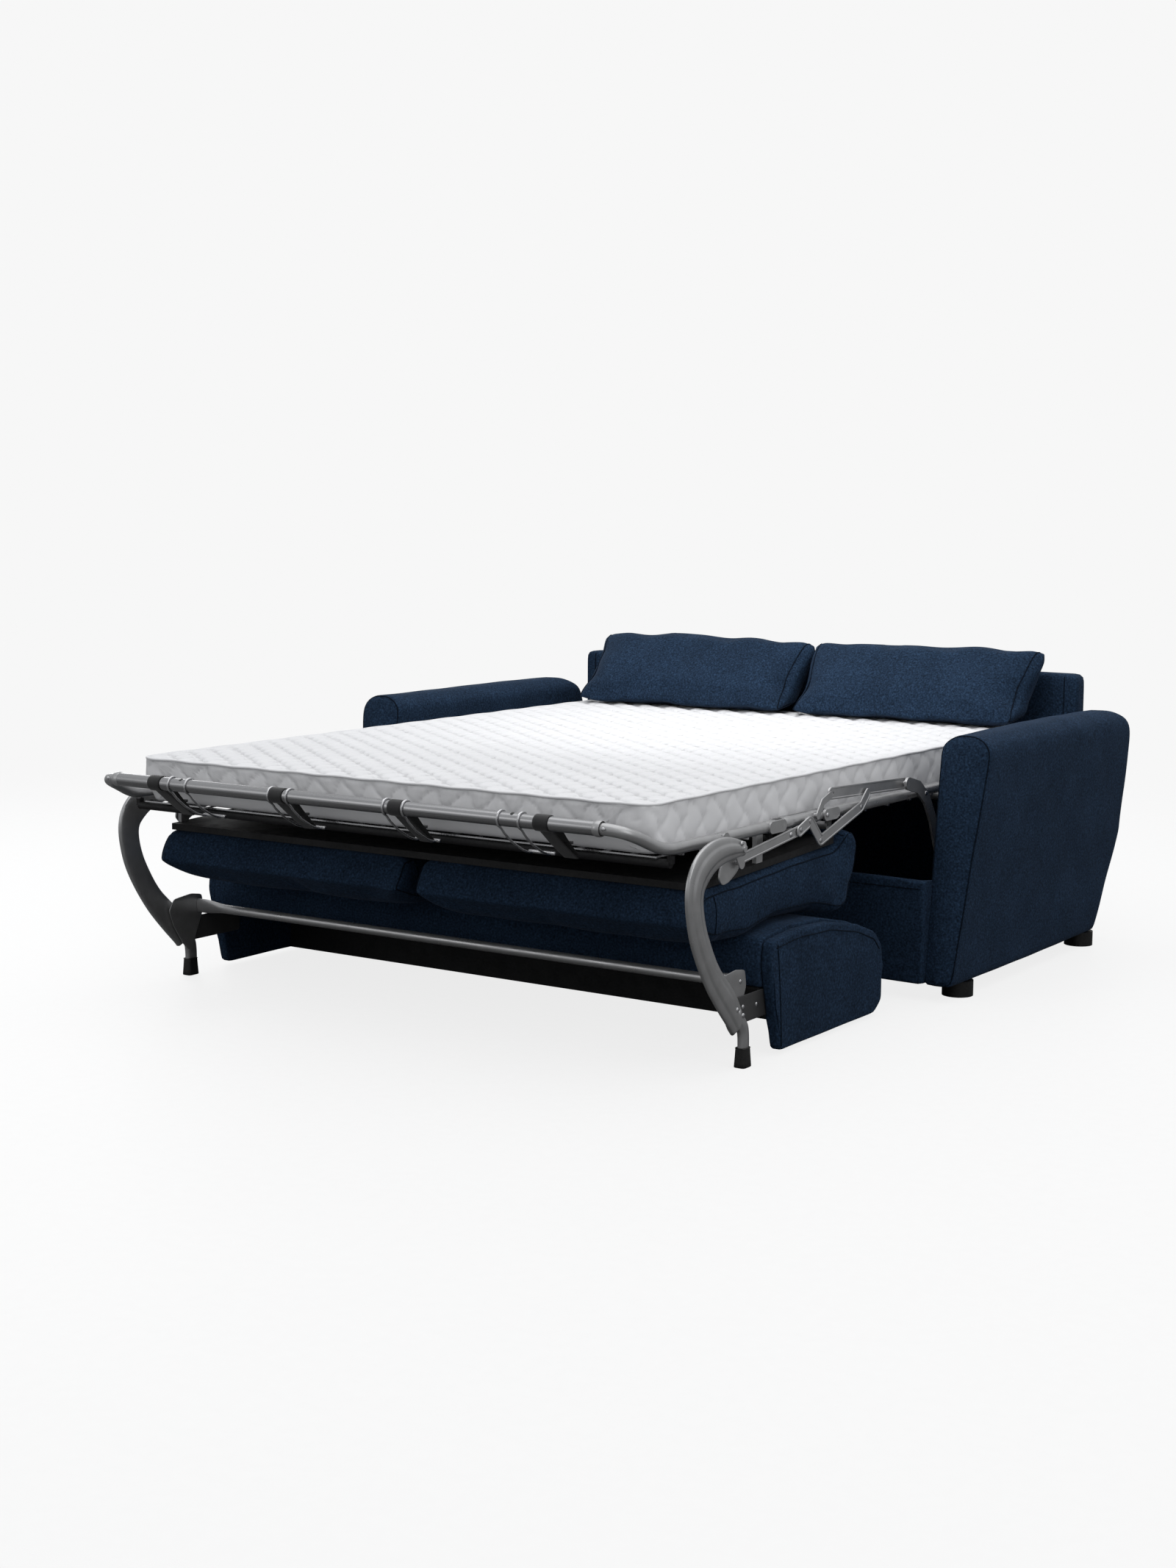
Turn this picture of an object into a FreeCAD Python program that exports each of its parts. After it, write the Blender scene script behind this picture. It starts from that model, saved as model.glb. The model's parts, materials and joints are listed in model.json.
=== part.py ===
"""Futon sofa bed with a fold-out steel frame, shown opened as a bed.

Millimetres. +X is towards the right arm, +Y towards the back, +Z up. The parts are laid out
from the front leg tips (y = 0) and are moved to the middle of the whole object when written.
"""
import FreeCAD, Part
import math
import os

# ---------------------------------------------------------------- driving dimensions
running = 0.05            # radial clearance of a pin in its hole
gap = 0.3                 # clearance between neighbouring pieces
floor_z = 0.0

# bed frame: three level sections on round tube rails
rail_x = 733.0            # rail centre line, from the middle
rail_z = 475.0            # rail centre line and all three bed hinges
rail_r = 12.5
rail_end = 14.0           # a rail ends this far from a hinge's axis
foot_hinge_y = 205.0      # foot section to link section
middle_length = 680.0
cross_r = 9.0
cross_drop = 29.0         # cross tubes lie this far below the rails
mesh_thick = 3.0
mesh_x = 706.0
lug_thick = 4.0
lug_r = 14.0
pin_r = 5.0
head_r = 9.0

# mattress
mattress_x = 700.0
mattress_low = 15.0       # depth below the hinge line
mattress_high = 97.0      # height above the hinge line
mattress_front_y = -258.0
mattress_length = 1898.0
link_length = 2 * mattress_high + 1.0   # link section, spans two thicknesses when folded
mattress_edge = (33.0, 30.0)   # bevel of its front lower edge, back and up

# front bow
bow_y = -360.0
bow_z = 527.0
bow_r = 15.0
bow_half = 655.0
bow_bend_y = -190.0       # where the side rails start to bend
strap_centres = (-533.0, -170.0, 156.0, 525.0)
strap_width = 36.0
strap_thick = 2.0
hook_centres = (-461.0, -165.0, 152.0, 447.0)
hook_spread = 52.0
hook_r = 2.2
hook_y = -236.0

# sheet planes outboard of the rails, each (inner face, outer face)
lug_plane = (rail_x + rail_r - 2.0, rail_x + rail_r + lug_thick)
rod_plane = (746.0, rail_x + rail_r + lug_thick)
ear_plane = (750.2, 753.2)
link_plane = (753.8, 756.8)
swing_plane = (757.4, 763.4)
crank_plane = (764.0, 770.0)
gusset_plane = (767.0, 773.7)
leg_plane = (774.0, 792.0)

# carrier: a short crank on the base and a curved swing arm on the middle section
crank_y = 1068.5
crank_z = 206.3
elbow_y = 1200.0
elbow_z = 300.0
swing_y = 865.0
crank_width = 36.0
swing_width = 30.0
swing_tip_y = 775.0
swing_tip_z = 507.0

# flat link bars
ear_y = 417.0
ear_z = 521.0
bar_width = 24.0
ear_width = 16.0
lever_width = 22.0
knee_y = 312.0            # bent link's pivot on the link section
knee_z = 472.0
rod_front_y = -10.0
rod_front_z = 423.0
rod_back_y = 266.0
rod_back_z = 456.0

# legs
leg_pivot_y = -33.0
leg_pivot_z = 457.0
leg_bar_z = 172.0
gusset = [(-112.0, 205.0), (-20.0, 196.0), (142.0, 150.0), (142.0, 75.0), (30.0, 75.0),
          (-60.0, 128.0)]
leg_bar_r = 11.0
boot_height = 42.0
boot_wall = 4.0

# seat cushions, stored upside down under the foot section
seat_x = 765.0
seat_split = 16.0
seat_board_thick = 15.0
board_front = (-118.0, 376.0)   # (y, z) of the sloping board's lower face
board_back = (462.0, 403.0)

# backrest box between the legs
backrest_x = 800.0
backrest_wall = 26.0
backrest_front_y = 113.0
backrest_back_y = 582.0
backrest_low_z = 10.0
recess_depth = 342.0      # y of the black lining behind the recess
recess_height = 142.0
lining_thick = 6.0

# arms, back and plinth
arm_in = 815.0
arm_top_width = 125.0
arm_low_width = 72.0
arm_height = 622.0
arm_low_z = 37.0
arm_front_y = 762.0
arm_back_y = 1748.0
arm_back_round = 95.0
foot_r = 37.0
foot_in = 38.0            # foot centre from the arm's inner face
back_x = 790.0
back_y = 1715.0
back_thick = 57.0
back_height = 705.0
panel_low_z = 40.0
plinth_y = 752.0
plinth_thick = 23.0
plinth_height = 285.0
side_plate_thick = 8.0
base_tube_r = 14.0
base_tube_y = 812.0
base_tube_z = 92.0

# loose back cushions
back_cushion_width = 690.0
back_cushion_gap = 42.0
back_cushion_left_x = -703.0

# ---------------------------------------------------------------- derived
link_hinge_y = foot_hinge_y + link_length
head_hinge_y = link_hinge_y + middle_length
mattress_back_y = mattress_front_y + mattress_length
mesh_z = rail_z - mattress_low - gap - mesh_thick
hook_z = mesh_z - hook_r - gap / 2
lug_in = (rail_x - rail_r - lug_thick, rail_x - rail_r + 2.0)
arm_out = arm_in + arm_top_width
middle_y = 0.5 * ((bow_y - bow_r) + (back_y + back_thick))
both = (-1, 1)


# ---------------------------------------------------------------- helpers
def point(x, y, z):
    return FreeCAD.Vector(x, y, z)


def box(x0, x1, y0, y1, z0, z1):
    """Block between two corners."""
    return Part.makeBox(x1 - x0, y1 - y0, z1 - z0, point(x0, y0, z0))


def rod(start, end, radius):
    """Round bar between two points."""
    run = end - start
    return Part.makeCylinder(radius, run.Length, start, run)


def pin(y, z, x0, x1, radius):
    """Round bar along X."""
    return rod(point(x0, y, z), point(x1, y, z), radius)


def hull(outline, x0, x1):
    """Flat outline of (y, z) points, extruded from x0 to x1."""
    loop = [point(x0, y, z) for y, z in outline]
    face = Part.Face(Part.makePolygon(loop + loop[:1]))
    return face.extrude(point(x1 - x0, 0, 0))


def edges_along_x(shape):
    """Edges of an extruded outline that run along X."""
    return [e for e in shape.Edges if len(e.Vertexes) == 2
            and abs(e.Vertexes[0].X - e.Vertexes[1].X) > 1.0
            and abs(e.Vertexes[0].Y - e.Vertexes[1].Y) < 1e-6]


def rounded(outline, x0, x1, radius):
    """Extruded outline whose corners are rounded."""
    solid = hull(outline, x0, x1)
    return solid.makeFillet(radius, edges_along_x(solid))


def bar(route, width, x0, x1):
    """Flat bar with round ends along a route of (y, z) points."""
    pieces = [pin(y, z, x0, x1, width / 2) for y, z in route]
    for (y0, z0), (y1, z1) in zip(route, route[1:]):
        run = math.hypot(y1 - y0, z1 - z0)
        side_y = -(z1 - z0) / run * width / 2
        side_z = (y1 - y0) / run * width / 2
        pieces.append(hull([(y0 + side_y, z0 + side_z), (y0 - side_y, z0 - side_z),
                            (y1 - side_y, z1 - side_z), (y1 + side_y, z1 + side_z)], x0, x1))
    return pieces[0].multiFuse(pieces[1:]).removeSplitter()


def mirrored(shape):
    """The same piece on the left side."""
    return shape.mirror(point(0, 0, 0), point(1, 0, 0))


def curved_edge(points):
    """Smooth curve through (y, z) points in the plane x = 0."""
    curve = Part.BSplineCurve()
    curve.interpolate([point(0, y, z) for y, z in points])
    return curve.toShape()


def write(name, shapes):
    """One STEP file, with one or several separate solids, in the object's own frame."""
    solids = []
    for shape in shapes:
        solids.extend(shape.Solids)
    body = Part.makeCompound(solids) if len(solids) > 1 else solids[0]
    body.translate(point(0, -middle_y, 0))
    assert all(s.isValid() and s.Volume > 1.0 for s in solids), name
    body.exportStep("parts/" + name + ".step")


def write_pair(name, shape):
    """A right-hand piece and its mirror image, as two nodes."""
    write(name + "_right", [shape.copy()])
    write(name + "_left", [mirrored(shape)])


def write_both(name, shapes):
    """Right-hand pieces and their mirror images, in one node."""
    write(name, [s.copy() for s in shapes] + [mirrored(s) for s in shapes])


# ---------------------------------------------------------------- base
def arm():
    """Padded arm: a leaning cross-section cut to the arched side view."""
    section = [(arm_in, arm_low_z), (arm_in, arm_height), (arm_out, arm_height),
               (arm_in + arm_low_width, arm_low_z)]
    loop = [point(x, arm_front_y - 1, z) for x, z in section]
    face = Part.Face(Part.makePolygon(loop + loop[:1]))
    body = face.extrude(point(0, arm_back_y - arm_front_y + 2, 0))
    lean = 78.0
    side = hull([(arm_front_y, arm_low_z - 1), (arm_front_y + lean, arm_height + 1),
                 (arm_back_y, arm_height + 1), (arm_back_y - 10, arm_low_z + 260),
                 (arm_back_y - 100, arm_low_z - 1)], arm_in - 1, arm_out + 1)
    top_back = [e for e in edges_along_x(side)
                if e.Vertexes[0].Z > arm_height and e.Vertexes[0].Y > arm_back_y - 1]
    side = side.makeFillet(arm_back_round, top_back)
    body = body.common(side)
    top_edges = [e for e in body.Edges if len(e.Vertexes) == 2
                 and min(v.Z for v in e.Vertexes) > arm_height - 1.0
                 and abs(e.Vertexes[0].Y - e.Vertexes[1].Y) > 300]
    return body.makeFillet(24.0, top_edges)


def build_base():
    write_pair("arm", arm())
    feet = []
    for y in (arm_front_y + 112.0, arm_back_y - 107.0 - foot_r / 2):
        feet.append(rod(point(arm_in + foot_in, y, floor_z),
                        point(arm_in + foot_in, y, arm_low_z - gap / 2), foot_r))
    write_both("arm_feet", feet)
    panel = box(-back_x, back_x, back_y, back_y + back_thick, panel_low_z, back_height)
    top = [e for e in panel.Edges if min(v.Z for v in e.Vertexes) > back_height - 1
           and abs(e.Vertexes[0].X - e.Vertexes[1].X) > 1]
    write("back_panel", [panel.makeFillet(20.0, top)])
    half = arm_in - gap
    write("plinth", [box(-half, half, plinth_y, plinth_y + plinth_thick,
                         panel_low_z, plinth_height)])
    bracket = box(back_x + gap / 2, half, back_y + 12, back_y + 30, 120.0, 480.0)
    write_both("back_brackets", [bracket])
    plate = rounded([(base_tube_y - 30, base_tube_z - 32), (crank_y + 60, base_tube_z - 32),
                     (crank_y + 60, crank_z + 50), (crank_y - 60, crank_z + 50),
                     (base_tube_y - 30, base_tube_z + 45)],
                    half - side_plate_thick, half, 14.0)
    plate = plate.cut(pin(crank_y, crank_z, half - side_plate_thick - 1, half - 2,
                          pin_r + 2 + running))
    write_both("side_plates", [plate])
    inner = half - side_plate_thick - gap / 2
    write("base_cross_tube", [pin(base_tube_y, base_tube_z, -inner, inner, base_tube_r)])
    bolts = []
    for y, z in ((base_tube_y + 40, base_tube_z), (crank_y + 40, crank_z - 90),
                 (crank_y + 36, crank_z + 28), (crank_y - 40, crank_z + 28)):
        bolts.append(pin(y, z, half - side_plate_thick - 4, half - side_plate_thick, 7.0))
    write_both("plate_bolts", bolts)


# ---------------------------------------------------------------- carrier
def build_carrier():
    crank = bar([(crank_y, crank_z), (elbow_y, elbow_z)], crank_width, *crank_plane)
    crank = crank.cut(pin(elbow_y, elbow_z, crank_plane[0] - 1, crank_plane[1] + 1, pin_r))
    write_both("cranks", [crank])
    base_pin = pin(crank_y, crank_z, crank_plane[1], arm_in - gap - 2.5, pin_r + 2)
    elbow_pin = pin(elbow_y, elbow_z, link_plane[0], crank_plane[1], pin_r)
    elbow_pin = elbow_pin.fuse(pin(elbow_y, elbow_z, link_plane[0], link_plane[1], head_r))
    write_both("crank_pins", [base_pin, elbow_pin])

    swing = bar([(swing_tip_y, swing_tip_z), (828.0, 494.0), (872.0, 462.0), (908.0, 410.0),
                 (932.0, 352.0), (958.0, 308.0), (1000.0, 284.0), (1060.0, 276.0),
                 (1130.0, 281.0), (elbow_y, elbow_z)], swing_width, *swing_plane)
    holes = [(swing_y, rail_z, pin_r + 2 + running), (elbow_y, elbow_z, pin_r + running),
             (swing_tip_y, swing_tip_z, pin_r)]
    for y, z, radius in holes:
        swing = swing.cut(pin(y, z, swing_plane[0] - 1, swing_plane[1] + 1, radius))
    write_pair("swing_arm", swing)
    tip_pin = pin(swing_tip_y, swing_tip_z, rod_plane[0], swing_plane[1], pin_r)
    write_both("swing_pins", [tip_pin])


# ---------------------------------------------------------------- bed frame
def rail(y0, y1):
    return rod(point(rail_x, y0, rail_z), point(rail_x, y1, rail_z), rail_r)


def cross_tube(y, drop=cross_drop):
    """Cross tube with an upright tab at each end that meets the rail."""
    z = rail_z - drop
    tube = pin(y, z, -rail_x, rail_x, cross_r)
    if drop < rail_r:
        return tube
    tabs = [box(s * rail_x - 5, s * rail_x + 5, y - 7, y + 7, z, rail_z - rail_r) for s in both]
    return tube.multiFuse(tabs).removeSplitter()


def lug(y0, y1, plane, hole_y, radius):
    """Flat hinge lug on a rail, drilled for its pin."""
    plate = bar([(y0, rail_z), (y1, rail_z)], 2 * lug_r - 2, *plane)
    return plate.cut(pin(hole_y, rail_z, plane[0] - 1, plane[1] + 1, radius))


def hinge_pin(y):
    return pin(y, rail_z, lug_in[0] - 1, lug_plane[1] + 0.2, pin_r)


def mesh(y0, y1):
    """Spring wire mat of lengthwise and cross wires, and the hooks that hang it on the rails."""
    wires = []
    wire = mesh_thick / 2
    pitch = 62.0
    z = mesh_z + wire
    across = int(2 * (mesh_x - wire) / pitch)
    for i in range(across + 1):
        x = -mesh_x + wire + 2 * (mesh_x - wire) * i / across
        wires.append(box(x - wire, x + wire, y0, y1, z - wire, z + wire))
    along = max(2, int((y1 - y0) / (1.4 * pitch)))
    for i in range(along + 1):
        y = y0 + wire + (y1 - y0 - 2 * wire) * i / along
        wires.append(box(-mesh_x, mesh_x, y - wire, y + wire, z - wire, z + wire))
    clips = []
    count = max(2, int((y1 - y0) / 105.0))
    for i in range(count):
        y = y0 + (y1 - y0) * (i + 0.5) / count
        clip = box(mesh_x + gap / 2, rail_x - 4, y - 3, y + 3, z - wire, z + wire)
        riser = box(rail_x - 7, rail_x - 4, y - 3, y + 3, z, rail_z)
        clip = clip.fuse(riser).cut(rail(y - 10, y + 10))
        clips += [clip, mirrored(clip)]
    return [wires[0].multiFuse(wires[1:]).removeSplitter()] + clips


def mattress_block(y0, y1, bevel_front, bevel_back):
    """Mattress length between two hinges, bevelled at 45 degrees where it folds."""
    low = rail_z - mattress_low
    top = rail_z + mattress_high
    outline = []
    if bevel_front:
        outline += [(y0 + gap, low), (y0 + gap, rail_z)]
        last_front = (y0 + gap + mattress_high, top)
    else:
        outline += [(y0 + mattress_edge[0], low), (y0, low + mattress_edge[1])]
        last_front = (y0, top)
    outline.append(last_front)
    if bevel_back:
        outline += [(y1 - gap - mattress_high, top), (y1 - gap, rail_z), (y1 - gap, low)]
    else:
        outline += [(y1, top), (y1, low)]
    return hull(outline, -mattress_x, mattress_x)


def mattress_wedge(hinge_y):
    """Foam over a hinge: it squashes when the bed folds."""
    top = rail_z + mattress_high
    inset = 2 * gap
    reach = mattress_high - inset
    return hull([(hinge_y, rail_z + inset), (hinge_y + reach, top), (hinge_y - reach, top)],
                -mattress_x, mattress_x)


def build_middle():
    rail_piece = rail(link_hinge_y + rail_end, head_hinge_y - rail_end)
    front_lug = lug(link_hinge_y, link_hinge_y + 46, lug_plane, link_hinge_y, pin_r)
    back_lug = lug(head_hinge_y - 46, head_hinge_y, lug_plane, head_hinge_y, pin_r)
    piece = rail_piece.multiFuse([front_lug, back_lug]).removeSplitter()
    write_pair("middle_rail", piece)
    write("middle_cross_tubes", [cross_tube(link_hinge_y + 34), cross_tube(head_hinge_y - 34)])
    write("middle_mesh", mesh(link_hinge_y + 50, head_hinge_y - 50))
    swing_pin = pin(swing_y, rail_z, lug_plane[0] - rail_r, crank_plane[0] - 0.3, pin_r + 2)
    swing_pin = swing_pin.cut(rail(link_hinge_y, head_hinge_y))
    write_both("middle_pins", [hinge_pin(link_hinge_y), hinge_pin(head_hinge_y), swing_pin])
    write("mattress_middle", [mattress_block(link_hinge_y, head_hinge_y, True, True)])
    write("mattress_rear_fold", [mattress_wedge(head_hinge_y)])


def build_link():
    piece = rail(foot_hinge_y + rail_end, link_hinge_y - rail_end)
    plate = bar([(foot_hinge_y, rail_z), (link_hinge_y, rail_z)], 2 * lug_r - 4, *lug_in)
    for y in (foot_hinge_y, link_hinge_y):
        plate = plate.cut(pin(y, rail_z, lug_in[0] - 1, lug_in[1] + 1, pin_r + running))
    ear = bar([(link_hinge_y - 48, rail_z + 4), (link_hinge_y - 26, rail_z + 32), (ear_y, ear_z)],
              ear_width, *ear_plane)
    ear = ear.cut(pin(ear_y, ear_z, ear_plane[0] - 1, ear_plane[1] + 1, pin_r - 1))
    boss = pin(link_hinge_y - 48, rail_z + 4, rail_x, ear_plane[0], 6.0)
    knee_boss = pin(knee_y, knee_z, rail_x, lug_plane[1], 7.0)
    knee_pin = pin(knee_y, knee_z, rail_x, link_plane[1] + 0.4, pin_r)
    piece = piece.multiFuse([plate, boss, ear, knee_boss, knee_pin]).removeSplitter()
    write_pair("link_rail", piece)
    write("link_cross_tube", [cross_tube(0.5 * (foot_hinge_y + link_hinge_y))])
    write("mattress_link", [mattress_block(foot_hinge_y, link_hinge_y, True, True)])
    write("mattress_front_folds", [mattress_wedge(foot_hinge_y), mattress_wedge(link_hinge_y)])


def foot_rail():
    """Side rail that bends round and up into the front bow."""
    straight = rail(bow_bend_y, foot_hinge_y - rail_end)
    curve = Part.BSplineCurve()
    curve.interpolate(Points=[point(rail_x, bow_bend_y, rail_z),
                              point(rail_x - 14, bow_y + 62, rail_z + 26),
                              point(bow_half, bow_y, bow_z)],
                      InitialTangent=point(0, -260, 0), FinalTangent=point(-220, 0, 0))
    path = Part.Wire([curve.toShape()])
    ring = Part.Wire([Part.makeCircle(rail_r, point(rail_x, bow_bend_y, rail_z), point(0, 1, 0))])
    bend = path.makePipeShell([ring], True, True)
    bend = Part.Solid(bend) if bend.ShapeType == "Shell" else bend
    eye = lug(foot_hinge_y - 46, foot_hinge_y, lug_plane, foot_hinge_y, pin_r)
    return straight.multiFuse([bend, eye]).removeSplitter()


def strap(x):
    """Webbing looped round the front bow and led back to the mat."""
    outer = bow_r + gap + strap_thick
    end_y = hook_y + 6 - hook_r - gap
    loop = pin(bow_y, bow_z, x - strap_width / 2, x + strap_width / 2, outer)
    tail = hull([(bow_y - outer + 2, bow_z - 6), (bow_y - outer + 6, bow_z - 16),
                 (bow_y + 10, bow_z - 27), (end_y, hook_z - 1), (end_y, hook_z + strap_thick),
                 (bow_y + 16, bow_z - 10)],
                x - strap_width / 2, x + strap_width / 2)
    body = loop.fuse(tail)
    return body.cut(pin(bow_y, bow_z, x - strap_width, x + strap_width, bow_r + gap / 2))


def hook(x):
    """Wire bail: two legs from the bow to the cross wire that holds the mat."""
    top = point(0, bow_y + 13.5, bow_z - 11.5)
    end = point(0, hook_y + 6, hook_z)
    run = end - top
    seat = end - run.normalize() * (hook_r + gap)
    legs = []
    for s in both:
        shift = point(x + s * hook_spread / 2, 0, 0)
        legs.append(rod(top + shift, seat + shift, hook_r))
    cross = pin(end.y, end.z, x - hook_spread / 2 - 8, x + hook_spread / 2 + 8, hook_r)
    return legs + [cross]


def under_board(y):
    """Height of the seat board's lower face, less the clearance."""
    slope = (board_back[1] - board_front[1]) / (board_back[0] - board_front[0])
    return board_front[1] + slope * (y - board_front[0]) - gap


def seat_cushion(x0, x1):
    """Seat cushion lying upside down, with its rolled front lip at the back."""
    lip = board_back[0] + 4.0
    outline = [(-168.0, 300.0), (-74.0, 268.0), (70.0, 262.0), (197.0, 278.0), (355.0, 273.0),
               (471.0, 254.0), (508.0, 268.0), (544.0, 346.0), (552.0, 412.0), (520.0, 446.0),
               (486.0, 436.0), (lip, under_board(lip)), (-128.0, under_board(-128.0))]
    return rounded(outline, x0, x1, 5.0)


def build_foot():
    write_pair("foot_rail", foot_rail())
    write("front_bow", [pin(bow_y, bow_z, -bow_half + gap / 2, bow_half - gap / 2, bow_r)])
    write("foot_cross_tubes", [cross_tube(foot_hinge_y - 34), cross_tube(hook_y + 16)])
    write("foot_mesh", mesh(hook_y + 5.6, foot_hinge_y - 50))
    write("front_straps", [strap(x) for x in strap_centres])
    write("front_hooks", [wire for x in hook_centres for wire in hook(x)])
    board = hull([board_front, board_back, (board_back[0], board_back[1] + seat_board_thick),
                  (board_front[0], board_front[1] + seat_board_thick)], -rail_x, rail_x)
    write("seat_board", [board])
    brackets = []
    for y, foot_z in ((-96.0, 391.5), (118.0, 402.5)):
        brackets.append(box(rail_x - 10, rail_x, y, y + 26, foot_z, rail_z - 8))
    brackets = [b.cut(rail(bow_bend_y, foot_hinge_y)).cut(board) for b in brackets]
    hanger = bar([(leg_pivot_y, leg_pivot_z), (leg_pivot_y, rail_z)], 2 * lug_r - 2, *lug_plane)
    hanger = hanger.cut(pin(leg_pivot_y, leg_pivot_z, lug_plane[0] - 1, lug_plane[1] + 1, pin_r + 1))
    hanger = hanger.cut(rail(bow_bend_y, foot_hinge_y))
    write_both("foot_brackets", brackets + [hanger])
    leg_pin = pin(leg_pivot_y, leg_pivot_z, lug_plane[0], leg_plane[1] + 3, pin_r + 1)
    write_both("foot_pins", [hinge_pin(foot_hinge_y), leg_pin])
    half = seat_split / 2
    write("seat_cushion_right", [seat_cushion(half, seat_x)])
    write("seat_cushion_left", [seat_cushion(-seat_x, -half)])
    write("mattress_foot", [mattress_block(mattress_front_y, foot_hinge_y, False, True)])


def leg():
    """Leg: a flattened tube that bends forward, down and back to its foot."""
    outer = [(-22.0, 470.0), (-70.0, 487.0), (-125.0, 491.0), (-180.0, 480.0), (-214.0, 458.0),
             (-231.0, 421.0), (-230.0, 372.0), (-221.0, 322.0), (-195.0, 263.0), (-157.0, 201.0),
             (-97.0, 134.0), (-50.0, 84.0), (-28.0, boot_height - 20)]
    inner = [(-22.0, 444.0), (-60.0, 440.0), (-104.0, 437.0), (-150.0, 420.0), (-182.0, 387.0),
             (-180.0, 327.0), (-159.0, 279.0), (-110.0, 215.0), (-60.0, 160.0), (-22.0, 112.0),
             (-2.0, 60.0), (4.0, boot_height - 20)]
    low = Part.makeLine(point(0, *outer[-1]), point(0, *inner[-1]))
    high = Part.makeLine(point(0, *outer[0]), point(0, *inner[0]))
    face = Part.Face(Part.Wire(Part.__sortEdges__([curved_edge(outer), low,
                                                   curved_edge(inner), high])))
    solid = face.extrude(point(leg_plane[1] - leg_plane[0], 0, 0))
    solid.translate(point(leg_plane[0], 0, 0))
    eye = pin(leg_pivot_y, leg_pivot_z, leg_plane[0], leg_plane[1], lug_r + 4)
    solid = solid.fuse(eye).removeSplitter()
    hole = pin(leg_pivot_y, leg_pivot_z, leg_plane[0] - 1, leg_plane[1] + 1, pin_r + 1 + running)
    return solid.cut(hole)


def boot(leg_solid):
    """Rubber boot over the leg's end."""
    x0, x1 = leg_plane
    block = rounded([(-42.0, floor_z), (16.0, floor_z), (12.0, boot_height), (-40.0, boot_height)],
                    x0 - boot_wall, x1 + boot_wall, 5.0)
    return block.cut(leg_solid)


def build_legs():
    solid = leg()
    write_pair("leg", solid)
    write_both("rubber_boots", [boot(solid)])
    write_both("leg_gussets", [rounded(gusset, gusset_plane[0], gusset_plane[1], 4.0)])
    half = gusset_plane[0] - gap / 2
    write("leg_cross_bar", [pin(0.0, leg_bar_z, -half, half, leg_bar_r)])
    arm_plate = bar([(leg_pivot_y, leg_pivot_z), (rod_front_y, rod_front_z)], lever_width,
                    leg_plane[0] - 3.5, leg_plane[0] - gap / 2)
    arm_plate = arm_plate.cut(pin(leg_pivot_y, leg_pivot_z, 700, 900, pin_r + 1 + running))
    stub = pin(rod_front_y, rod_front_z, ear_plane[0], leg_plane[0] - 3.5, pin_r - 1)
    write_both("rod_levers", [arm_plate.fuse(stub)])


def build_backrest():
    inner = backrest_x - backrest_wall
    side = rounded([(backrest_front_y, backrest_low_z), (548.0, backrest_low_z),
                    (backrest_back_y, 34.0), (backrest_back_y, 160.0), (545.0, 198.0),
                    (460.0, 228.0), (331.0, 253.0), (184.0, 259.0), (76.0, 250.0), (69.0, 200.0)],
                   inner, backrest_x, 6.0)
    write_pair("backrest_side", side)
    span = inner - gap
    low = recess_height + lining_thick + gap
    slot = box(gusset_plane[0] - gap, backrest_x, gusset[0][0], gusset[2][0] + gap,
               gusset[3][1] - gap, gusset[0][1] + gap)
    slots = slot.fuse(mirrored(slot))
    pad = rounded([(69.0, low), (564.0, low), (560.0, 188.0), (520.0, 210.0), (460.0, 232.0),
                   (331.0, 259.0), (184.0, 267.0), (76.0, 254.0), (64.0, 200.0)],
                  -span, span, 6.0)
    write("backrest_pad", [pad.cut(slots)])
    back = recess_depth + lining_thick + gap
    rear = rounded([(back, backrest_low_z), (548.0, backrest_low_z), (backrest_back_y, 34.0),
                    (backrest_back_y, low - gap), (back, low - gap)], -span, span, 5.0)
    write("backrest_rear_pad", [rear])
    lining = hull([(80.0, recess_height), (recess_depth, recess_height),
                   (recess_depth, backrest_low_z + 2), (recess_depth + lining_thick, backrest_low_z + 2),
                   (recess_depth + lining_thick, recess_height + lining_thick),
                   (80.0, recess_height + lining_thick)], -span, span)
    write("backrest_lining", [lining.cut(slots)])


def build_head():
    end = mattress_back_y + 4.0
    piece = rail(head_hinge_y + rail_end, end)
    plate = bar([(head_hinge_y, rail_z), (head_hinge_y + 46, rail_z)], 2 * lug_r - 4, *lug_in)
    plate = plate.cut(pin(head_hinge_y, rail_z, lug_in[0] - 1, lug_in[1] + 1, pin_r + running))
    write_pair("head_rail", piece.fuse(plate).removeSplitter())
    half = rail_x - rail_r - gap / 2
    write("head_end_tube", [pin(end - cross_r, rail_z, -half, half, cross_r - 1)])
    write("head_mesh", mesh(head_hinge_y + 50, end - 2 * cross_r - 2))
    head = mattress_block(head_hinge_y, mattress_back_y, True, False)
    write("mattress_head", [head.cut(pin(end - cross_r, rail_z, -half, half, cross_r + gap))])


# ---------------------------------------------------------------- link bars
def drilled(route, width, plane, holes):
    piece = bar(route, width, *plane)
    for y, z, radius in holes:
        piece = piece.cut(pin(y, z, plane[0] - 1, plane[1] + 1, radius))
    return piece


def build_link_bars():
    upper = drilled([(ear_y, ear_z), (swing_tip_y, swing_tip_z)], bar_width, rod_plane,
                    [(ear_y, ear_z, pin_r - 1), (swing_tip_y, swing_tip_z, pin_r + running)])
    write_both("upper_rods", [upper])
    leg_rod = drilled([(rod_front_y, rod_front_z), (rod_back_y, rod_back_z)], bar_width,
                      ear_plane, [(rod_front_y, rod_front_z, pin_r - 1 + running)])
    write_both("leg_rods", [leg_rod])
    bent = drilled([(rod_back_y, rod_back_z), (knee_y, knee_z), (360.0, 424.0), (549.0, 477.0),
                    (580.0, 504.0)], bar_width, link_plane,
                   [(knee_y, knee_z, pin_r + running)])
    write_both("bent_links", [bent])


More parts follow.
